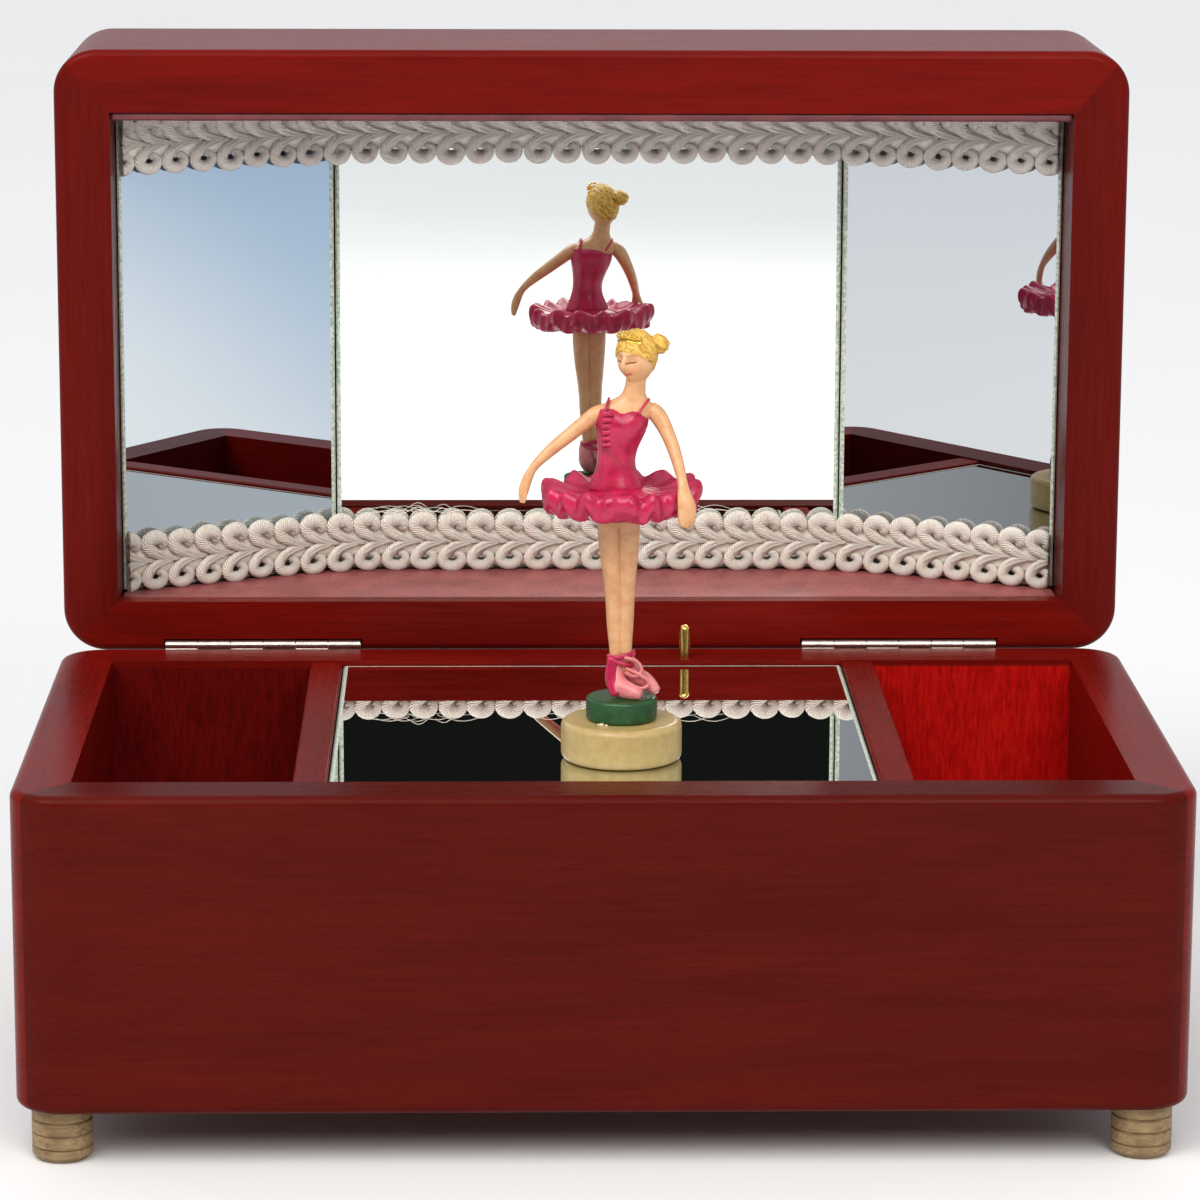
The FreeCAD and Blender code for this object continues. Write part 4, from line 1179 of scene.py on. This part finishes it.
@dataclass
class Dancer:
    """The moulded figure, in millimetres from its own axis on the glass; a row is x, y, z and two radii."""

    palette: Palette
    head_at: Point = (2.2, -0.4, 70.2)
    knot_at: Point = (6.0, 1.4, 72.2)
    head_size: Point = (3.2, 3.6, 4.5)
    hair_size: Point = (3.55, 3.95, 4.75)
    knot_size: Point = (1.9, 1.9, 1.75)
    face_turn: float = math.radians(34)
    face_bow: float = math.radians(14)
    ruffles: int = 15
    ruffle_start: float = 6.5
    ruffle_grows: float = 7.0
    skirt_middle: float = 45.0
    laces: int = 6
    lace_low: float = 55.4
    lace_pitch: float = 1.1
    body: str = "dancer"
    left_arm: tuple[Row, ...] = (
        (-2.6, 0.0, 61.0, 1.4, 1.35), (-4.5, -0.1, 60.4, 1.6, 1.5), (-6.7, -0.5, 58.8, 1.4, 1.35),
        (-9.6, -1.2, 56.6, 1.25, 1.25), (-12.7, -2.2, 54.2, 1.05, 1.05), (-15.2, -3.0, 51.8, 0.7, 0.75),
        (-16.4, -3.4, 49.6, 0.6, 0.95), (-17.0, -3.8, 47.6, 0.55, 0.9), (-17.3, -4.1, 45.7, 0.3, 0.4))
    right_arm: tuple[Row, ...] = (
        (4.3, 0.0, 61.4, 1.45, 1.4), (5.9, -0.2, 60.2, 1.65, 1.55), (7.4, -1.4, 57.6, 1.4, 1.3),
        (8.6, -3.6, 54.8, 1.25, 1.15), (9.4, -6.2, 52.2, 1.05, 1.0), (9.9, -8.6, 50.0, 0.75, 0.9),
        (10.2, -9.7, 48.0, 0.8, 1.35), (10.6, -10.2, 46.0, 0.85, 1.75), (10.5, -10.3, 44.0, 0.75, 1.55),
        (10.2, -10.4, 42.6, 0.45, 0.8))
    skirt: tuple[tuple[float, float], ...] = (
        (3.2, 48.0), (5.0, 47.3), (7.4, 46.9), (9.8, 47.3), (11.7, 48.1), (12.7, 48.3), (13.3, 47.6),
        (13.5, 46.4), (13.4, 45.2), (12.9, 44.1), (11.8, 43.4), (9.2, 43.8), (6.0, 44.4), (3.0, 44.8))
    waist: tuple[Row, ...] = (
        (-1.1, 0, 46.8, 4.9, 3.8), (-1.1, 0, 47.8, 4.8, 3.7), (-1.1, 0, 48.9, 4.3, 3.4),
        (-1.15, 0, 50.6, 3.5, 2.9), (-1.1, 0, 52.6, 3.15, 2.7), (-0.9, -0.05, 54.8, 3.4, 2.95),
        (-0.6, -0.15, 57.0, 4.1, 3.4), (-0.3, -0.2, 58.9, 4.7, 3.6), (-0.1, -0.1, 60.6, 4.65, 3.1),
        (-0.05, 0, 61.6, 4.3, 2.6))
    seam: tuple[Point, ...] = ((-4.3, -1.2, 58.6), (-3.6, -1.4, 55.4), (-3.3, -1.5, 52.6), (-3.8, -1.7, 49.9),
                               (-5.0, -1.6, 47.6))
    straps: tuple[tuple[Point, ...], ...] = (
        ((-3.3, -2.5, 60.6), (-3.0, -2.2, 61.7), (-2.6, -1.3, 62.7), (-2.4, 0.2, 63.0), (-2.6, 1.6, 62.2),
         (-3.0, 2.4, 60.6)),
        ((2.4, -2.6, 60.6), (3.2, -2.2, 61.8), (4.0, -1.4, 62.7), (4.4, 0.2, 62.9), (3.8, 1.6, 62.1),
         (2.8, 2.4, 60.6)))
    chest: tuple[Row, ...] = (
        (-0.1, 0, 59.2, 4.2, 2.8), (0.2, 0, 60.5, 5.5, 2.6), (0.5, 0, 61.5, 5.1, 2.3), (0.9, 0, 62.4, 4.0, 2.0),
        (1.5, 0, 63.1, 2.7, 1.75), (1.8, 0, 63.8, 2.05, 1.75), (2.0, 0.1, 64.8, 1.8, 1.65),
        (2.2, 0.2, 66.2, 1.75, 1.6), (2.5, 0.3, 68.2, 1.9, 1.9))
    features: tuple[tuple[Point, float, float], ...] = (
        ((0, -1.0, -0.05), 0.17, 0.42), ((0, -1.0, 0.15), 0.13, 0.24), ((0, -0.93, -0.38), 0.15, 0.18),
        ((0, -0.85, -0.82), 0.24, 0.12), ((0.34, -0.86, 0.16), 0.17, -0.17), ((-0.34, -0.86, 0.16), 0.17, -0.17),
        ((0.45, -0.78, -0.25), 0.26, 0.07), ((-0.45, -0.78, -0.25), 0.26, 0.07), ((0, -0.92, 0.30), 0.35, 0.04))

    def origin(self) -> Vector:
        """The frame point on the dancer's axis at the top of the glass plate."""
        low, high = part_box("dancer_disc")
        return Vector(((low.x + high.x) / 2, (low.y + high.y) / 2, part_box("mirror_plate")[1].z))

    def build(self) -> None:
        """Makes every part of the figure."""
        self.legs()
        self.shoes()
        self.ribbons()
        self.tutu()
        self.bodice()
        self.shoulders()
        self.limb("left_arm", self.left_arm)
        self.limb("right_arm", self.right_arm)
        self.head()
        self.hair()
        self.tiara()
        self.glue()
        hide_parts("dancer_figure")

    def piece(self, bm: bmesh.types.BMesh, name: str, material: bpy.types.Material, smoothed: bool = True,
              slot: str = "figure_plastic") -> None:
        """Brings one part of the figure to the frame.

        Args:
            bm: the part in the figure's millimetres, freed here.
            name: its name, without "dancer_".
            material: its finish.
            smoothed: whether it is subdivided.
            slot: not used.
        """
        to_frame(bm, self.origin())
        tidy_shell(bm)
        made = finish_piece(bm, f"dancer_{name}", self.body, (material,))
        if smoothed:
            subdivided(made)

    def limb(self, name: str, rows: Sequence[Row]) -> None:
        """One arm with its hand.

        Args:
            name: the arm's name.
            rows: its rows from the shoulder to the fingertips.
        """
        bm = bmesh.new()
        stations = smooth_rings(rows, 3)
        sweep(bm, stations, 12, (0.3, -1, 0.2))
        self.fingers(bm, Vector(stations[-5].centre), Vector(stations[-1].centre))
        self.piece(bm, name, self.palette.skin)

    def fingers(self, bm: bmesh.types.BMesh, palm: Vector, tip: Vector) -> None:
        """A thumb and a finger ridge beside the hand.

        Args:
            bm: the arm's mesh.
            palm: the middle of the hand.
            tip: the fingertips.
        """
        ahead = tip - palm
        for side, reach, size in ((-0.55, 0.75, 0.26), (0.5, 0.95, 0.28)):
            root = palm + Vector((side * 0.7, -0.3, 0)) + ahead * 0.1
            line = [root, root + ahead * reach * 0.5 + Vector((side * 0.25, -0.1, 0)), root + ahead * reach]
            sweep(bm, [Station(tuple(p), size * k, size * k) for p, k in zip(line, (1.1, 1.0, 0.6))], 8)

    def legs(self) -> None:
        """Two legs pressed together, tapering to the ankles."""
        bm = bmesh.new()
        for top, knee, ankle in ((-2.15, -1.35, -0.85), (0.85, 0.6, 0.5)):
            sweep(bm, [Station((x, y, z), wide, deep) for x, y, z, wide, deep in (
                (top, 0, 44.5, 2.3, 2.3), (top, 0, 41, 2.25, 2.2),
                (top * 0.75 + knee * 0.25, -0.1, 35, 1.95, 1.95), (knee, -0.2, 30.5, 1.65, 1.65),
                (knee * 0.9, 0.2, 26, 1.62, 1.65), (knee * 0.6 + ankle * 0.4, 0.1, 22, 1.38, 1.4),
                (ankle, 0, 18.5, 1.15, 1.15), (ankle, 0, 14, 1.15, 1.15))], 16)
        self.piece(bm, "legs", self.palette.skin)

    @staticmethod
    def floor() -> float:
        """The top of the green base above the glass."""
        return Bench.box("dancer_base")[1].z - Bench.box("mirror_plate")[1].z

    def shoes(self) -> None:
        """Two ballet shoes on their points, turned to the figure's left."""
        floor = self.floor()
        bm = bmesh.new()
        for rows in (
                ((-0.8, 0.2, 18.4, 1.3, 1.3), (-1.1, 0.1, 16.4, 1.6, 1.6), (-1.1, -0.4, 14.2, 1.7, 1.9),
                 (-0.2, -1.3, floor + 1.8, 1.6, 1.9), (1.6, -2.4, floor + 1.3, 1.35, 1.5),
                 (3.4, -3.4, floor + 0.85, 0.85, 0.9)),
                ((0.7, 0.3, 18.2, 1.2, 1.2), (1.4, 0.4, 16.2, 1.45, 1.5), (2.6, 0.3, 14.4, 1.7, 1.7),
                 (4.1, -0.2, floor + 2.7, 1.6, 1.5), (5.3, -0.8, floor + 1.7, 1.25, 1.2),
                 (6.1, -1.3, floor + 0.9, 0.85, 0.8))):
            sweep(bm, smooth_rings(rows, 3), 14, (0.4, -1, 0))
        self.piece(bm, "shoes", self.palette.shoe)

    def ribbons(self) -> None:
        """The ankle ribbons, the stripe down the heel and the two bows."""
        ribbons, bows = bmesh.new(), bmesh.new()
        for level, tilt in ((18.3, 0.2), (17.1, -0.3)):
            ring = [(-0.1 + 2.3 * math.cos(a), 0.1 + 1.75 * math.sin(a), level + tilt * math.cos(a) * 2)
                    for a in [math.tau * k / 20 for k in range(20)]]
            sweep(ribbons, [Station(p, 0.45, 0.24) for p in (*ring, ring[0])], 6, (0, 0, 1))
        stripe = ((-1.5, -1.0, 18.2), (-1.9, -1.6, 15.6), (-1.6, -2.1, 13.4), (-0.9, -2.7, self.floor() + 0.8))
        sweep(ribbons, even_rings(stripe, 0.95, 0.4), 8)
        for loop in (((0.4, -1.2, 18.0), (2.4, -2.0, 17.6), (3.4, -2.0, 16.0), (2.2, -1.9, 14.8), (0.5, -1.6, 15.6)),
                     ((0.6, -1.5, 16.2), (3.0, -2.2, 15.2), (4.6, -2.2, 13.8), (3.4, -2.4, 12.8), (1.2, -2.2, 13.6))):
            sweep(bows, even_rings(loop, 0.85, 0.4), 8, (0, -1, 0.4))
        self.piece(ribbons, "ribbons", self.palette.dress, smoothed=False)
        self.piece(bows, "bows", self.palette.shoe)

    def tutu(self) -> None:
        """The ruffled skirt: a profile spun round the waist, then folded."""
        bm = bmesh.new()
        verts = [bm.verts.new((r, 0, z)) for r, z in self.skirt]
        edges = [bm.edges.new(pair) for pair in zip(verts, verts[1:])]
        bmesh.ops.spin(bm, geom=[*verts, *edges], cent=(0, 0, 0), axis=(0, 0, 1), angle=math.tau,
                       steps=self.ruffles * 10, use_merge=True, use_duplicate=False)
        bmesh.ops.remove_doubles(bm, verts=bm.verts, dist=1e-4)
        for vert in bm.verts:
            radius = Vector(vert.co[:2]).length
            turn = math.atan2(vert.co.y, vert.co.x)
            uneven = noise.noise(Vector((math.cos(turn) * 2.2, math.sin(turn) * 2.2, 0.4)))
            fold = math.sin(self.ruffles * turn + uneven * 3.0)
            edge = min(max((radius - self.ruffle_start) / self.ruffle_grows, 0), 1)
            above = vert.co.z > self.skirt_middle
            out = 1 + edge * (0.035 * fold * (1 if above else -0.9) + 0.02 * math.sin(self.ruffles * 2.3 * turn + 1))
            vert.co.x *= out
            vert.co.y *= out
            vert.co.z += edge * (0.75 * fold + 0.8 * uneven) * (1.0 if above else 0.35)
        bmesh.ops.transform(bm, matrix=Matrix.Translation((-0.3, 0, 0)), verts=bm.verts)
        bmesh.ops.holes_fill(bm, edges=[e for e in bm.edges if e.is_boundary], sides=0)
        self.piece(bm, "tutu", self.palette.dress)

    def bodice(self) -> None:
        """The bodice with its flared hem, sweetheart top, lacing ridges, seam and straps."""
        bm = bmesh.new()
        sweep(bm, plain_rings(self.waist), 28)
        for vert in bm.verts:
            if vert.co.z > 60.2 and vert.co.y < 0:
                vert.co.z -= 1.0 * max(0, 1 - abs(vert.co.x + 0.2) / 1.6)
        for index in range(self.laces):
            level = self.lace_low + self.lace_pitch * index
            front = -2.75 - 0.13 * (level - 55)
            line = [(-2.6 + t * 1.05, front + (t + 0.4) ** 2 * 0.22, level + 0.12 * math.cos(t * 2)) for t in
                    (-1, -0.6, -0.2, 0.2, 0.6, 1)]
            sweep(bm, [Station(p, 0.36, 0.5) for p in line], 8, (0, -1, 0))
        sweep(bm, even_rings(self.seam, 0.22, 0.22), 6)
        for strap in self.straps:
            sweep(bm, even_rings(strap, 0.34, 0.24), 8, (0, -1, 0))
        self.piece(bm, "bodice", self.palette.dress)

    def shoulders(self) -> None:
        """Upper chest, shoulders and neck."""
        bm = bmesh.new()
        sweep(bm, plain_rings(self.chest), 24, level=True)
        self.piece(bm, "shoulders", self.palette.skin)

    def face_placing(self) -> Matrix:
        """Turns a head that looks along -Y to where the figure looks."""
        return (Matrix.Translation(self.head_at) @ Matrix.Rotation(-self.face_turn, 4, "Z")
                @ Matrix.Rotation(self.face_bow, 4, "X"))

    def head(self) -> None:
        """The head: a ball drawn out to a chin, with brow, nose, lips and cheeks raised."""
        bm = bmesh.new()
        bmesh.ops.create_icosphere(bm, subdivisions=5, radius=1.0)
        for vert in bm.verts:
            way = vert.co.copy()
            push = sum(rise * math.exp(-((way - Vector(spot)).length / size) ** 2)
                       for spot, size, rise in self.features)
            lower = max(0.0, -way.z)
            wide, deep, tall = self.head_size
            vert.co = Vector((way.x * wide * (1 - 0.19 * lower ** 1.5), way.y * deep * (1 - 0.12 * lower),
                              way.z * tall))
            vert.co += way * push * 2.6
        bmesh.ops.transform(bm, matrix=self.face_placing(), verts=bm.verts)
        finish = FaceFinish("doll_face", self.origin() + Vector(self.head_at) * MM, self.counter_turn())
        self.piece(bm, "head", finish.build(), smoothed=False)

    def counter_turn(self) -> Point:
        """The rotation that brings the frame's axes back to the face's own."""
        turned = (Matrix.Rotation(-self.face_turn, 4, "Z") @ Matrix.Rotation(self.face_bow, 4, "X")).inverted()
        return tuple(turned.to_euler("XYZ"))

    def hair(self) -> None:
        """Swept-back hair with a fringe and a bun behind the crown."""
        bm = bmesh.new()
        bmesh.ops.create_icosphere(bm, subdivisions=5, radius=1.0)
        for vert in bm.verts:
            way = vert.co.copy()
            waves = 1 + 0.018 * math.sin(way.x * 26 + way.z * 9) + 0.015 * noise.noise(way * 5)
            lower = max(0.0, -way.z)
            wide, deep, tall = self.hair_size
            vert.co = Vector((way.x * wide * (1 - 0.28 * lower), way.y * deep + 0.25, way.z * tall + 0.15)) * waves
        for spot, facing in (((0, -3.2, 2.3), (0, -1, -0.95)), ((0, 1.0, -2.9), (0, -0.35, -1))):
            bmesh.ops.bisect_plane(bm, geom=[*bm.verts, *bm.edges, *bm.faces], dist=1e-5, plane_co=spot,
                                   plane_no=Vector(facing), clear_outer=True)
        bmesh.ops.holes_fill(bm, edges=[e for e in bm.edges if e.is_boundary], sides=0)
        bmesh.ops.transform(bm, matrix=self.face_placing(), verts=bm.verts)
        knot = bmesh.ops.create_icosphere(bm, subdivisions=4, radius=1.0)["verts"]
        for vert in knot:
            wave = 1 + 0.05 * math.sin(vert.co.z * 9 + vert.co.x * 7)
            vert.co = Vector(c * size * wave for c, size in zip(vert.co, self.knot_size))
        bmesh.ops.transform(bm, matrix=Matrix.Translation(self.knot_at), verts=knot)
        strands = Strands("combed_hair", self.origin() + Vector(self.head_at) * MM)
        self.piece(bm, "hair", strands.build(), smoothed=False)

    def tiara(self) -> None:
        """A small gold tiara: two bands, beads and a raised middle."""
        bm = bmesh.new()
        arcs = [math.radians(a) for a in range(-56, 57, 7)]
        for level, size in ((3.75, 0.32), (4.55, 0.26)):
            band = [(2.9 * math.sin(a), -2.3 * math.cos(a) + 0.1, level - 0.6 * abs(math.sin(a))) for a in arcs]
            sweep(bm, [Station(p, size, 0.22) for p in band], 8, (0, 0, 1))
        for index, a in enumerate([math.radians(v) for v in range(-48, 49, 8)]):
            rise = 0.45 + 0.75 * math.cos(a) ** 3 * (index % 2)
            spot = (2.9 * math.sin(a), -2.35 * math.cos(a) + 0.1, 4.4 - 0.6 * abs(math.sin(a)) + rise)
            bmesh.ops.create_icosphere(bm, subdivisions=2, radius=0.3, matrix=Matrix.Translation(spot))
        bmesh.ops.transform(bm, matrix=self.face_placing(), verts=bm.verts)
        self.piece(bm, "tiara", self.palette.gold, smoothed=False)

    def glue(self) -> None:
        """Dried beads of glue where the base meets the disc."""
        top = Bench.box("dancer_disc")[1].z - Bench.box("mirror_plate")[1].z
        low, high = Bench.box("dancer_base")
        out = (high.x - low.x) / 2 + 0.15
        bm = bmesh.new()
        for degrees, size in ((-116, 0.3), (-124, 0.42), (-130, 0.24)):
            a = math.radians(degrees)
            spot = Matrix.Translation((out * math.cos(a), out * math.sin(a), top + size * 0.3))
            bmesh.ops.create_icosphere(bm, subdivisions=3, radius=size, matrix=spot @ Matrix.Diagonal((1, 1, 0.7, 1)))
        self.piece(bm, "glue", self.palette.bead, smoothed=False, slot="cream_plastic")


# ------------------------------------------------------------------ studio


@dataclass
class Studio:
    """Pale floor, soft lights and the camera."""

    yaw: float = math.radians(1.427)
    pitch: float = math.radians(12.316)
    roll: float = math.radians(0.24)
    stand: Point = (-19.97, -811.63, 198.68)
    lens: float = 140.47
    dark: Colour = (0.008, 0.009, 0.008)
    bright: Colour = (0.66, 0.67, 0.70)
    sun_strength: float = 1.45
    sun_spread: float = math.radians(50)
    sun_turn: Point = (math.radians(38), 0, math.radians(-28))
    lamps: tuple[tuple, ...] = (
        ("key", (-0.9, -1.1, 1.7), (0, 0, 0.08), 0.9, 10.5, (1.0, 0.96, 0.91)),
        ("lid_light", (0.35, -1.0, 0.75), (0, 0.03, 0.14), 0.5, 5.6, (1.0, 0.95, 0.89)))

    def camera(self) -> None:
        """Places the camera in front of the box, looking slightly down."""
        data = bpy.data.cameras.new("camera")
        data.sensor_width, data.lens = 36, self.lens
        data.clip_start, data.clip_end = 0.01, 50
        eye = bpy.data.objects.new("camera", data)
        bpy.context.scene.collection.objects.link(eye)
        ahead = Vector((math.sin(self.yaw) * math.cos(self.pitch), math.cos(self.yaw) * math.cos(self.pitch),
                        -math.sin(self.pitch)))
        right = Vector((math.cos(self.yaw), -math.sin(self.yaw), 0))
        up = right.cross(ahead)
        side = right * math.cos(self.roll) + up * math.sin(self.roll)
        top = up * math.cos(self.roll) - right * math.sin(self.roll)
        place = Bench.point(*self.stand)
        eye.matrix_world = Matrix(((side.x, top.x, -ahead.x, place.x), (side.y, top.y, -ahead.y, place.y),
                                   (side.z, top.z, -ahead.z, place.z), (0, 0, 0, 1)))
        bpy.context.scene.camera = eye

    def floor(self) -> None:
        """A wide pale floor."""
        bm = bmesh.new()
        bmesh.ops.create_grid(bm, x_segments=8, y_segments=8, size=12.0)
        mesh = bpy.data.meshes.new("floor")
        bm.to_mesh(mesh)
        bm.free()
        floor = bpy.data.objects.new("floor", mesh)
        bpy.context.scene.collection.objects.link(floor)
        s = Shader("pale_floor")
        cloud = s.noise(s.place((0.01, 0.01, 0.01)), 0.6, 2)
        mesh.materials.append(s.set(Base_Color=s.mix(cloud, (0.86, 0.86, 0.86), (0.83, 0.83, 0.83)), Roughness=0.7,
                                    Specular_IOR_Level=0.2))

    def lamp(self, name: str, place: Point, aim: Point, size: float, watts: float, colour: Colour) -> None:
        """One soft square light.

        Args:
            name: its name.
            place, aim: where it is and what it faces, in metres.
            size: its side in metres.
            watts: its power.
            colour: its light.
        """
        data = bpy.data.lights.new(name, "AREA")
        data.shape, data.size, data.energy, data.color = "SQUARE", size, watts, colour
        lamp = bpy.data.objects.new(name, data)
        bpy.context.scene.collection.objects.link(lamp)
        lamp.location = place
        lamp.rotation_euler = (Vector(aim) - Vector(place)).to_track_quat("-Z", "Y").to_euler()

    def daylight(self) -> None:
        """A broad, very soft sun that lights the floor evenly."""
        data = bpy.data.lights.new("daylight", "SUN")
        data.energy, data.angle, data.color = self.sun_strength, self.sun_spread, (1.0, 0.99, 0.97)
        sun = bpy.data.objects.new("daylight", data)
        bpy.context.scene.collection.objects.link(sun)
        sun.rotation_euler = self.sun_turn

    def surround(self) -> None:
        """A bright ceiling and sides, dark only low down behind the camera."""
        world = bpy.data.worlds.new("surround")
        world.use_nodes = True
        g = Graph(world.node_tree)
        x, y, z = g.axes(g.node("ShaderNodeTexCoord").outputs["Generated"])
        bright = z.step(0.42, 0.75)
        for side in (y.step(-0.25, 0.25), x.step(0.55, 0.8), x.step(-0.55, -0.8)):
            bright = bright.math("MAXIMUM", side)
        g.feed(g.tree.nodes["Background"].inputs["Color"], g.mix(bright, self.dark, self.bright))
        bpy.context.scene.world = world

    def build(self) -> None:
        """Makes the whole studio."""
        self.camera()
        self.floor()
        for lamp in self.lamps:
            self.lamp(*lamp)
        self.daylight()
        self.surround()
        bpy.context.scene.view_settings.view_transform = "Standard"


def main() -> None:
    """Builds the object and its studio in order."""
    palette = Palette()
    CadFinishes(palette).dress()
    Glazing(palette).build()
    Padding(palette).build()
    GimpBraid("gimp_lower", "lower_braid", palette.silk, LOOSE_FIBRES).build()
    GimpBraid("gimp_upper", "upper_braid", palette.painted_light_silk).build()
    Dancer(palette).build()
    Studio().build()
    log.info("size written")


if __name__ == "__main__":
    main()
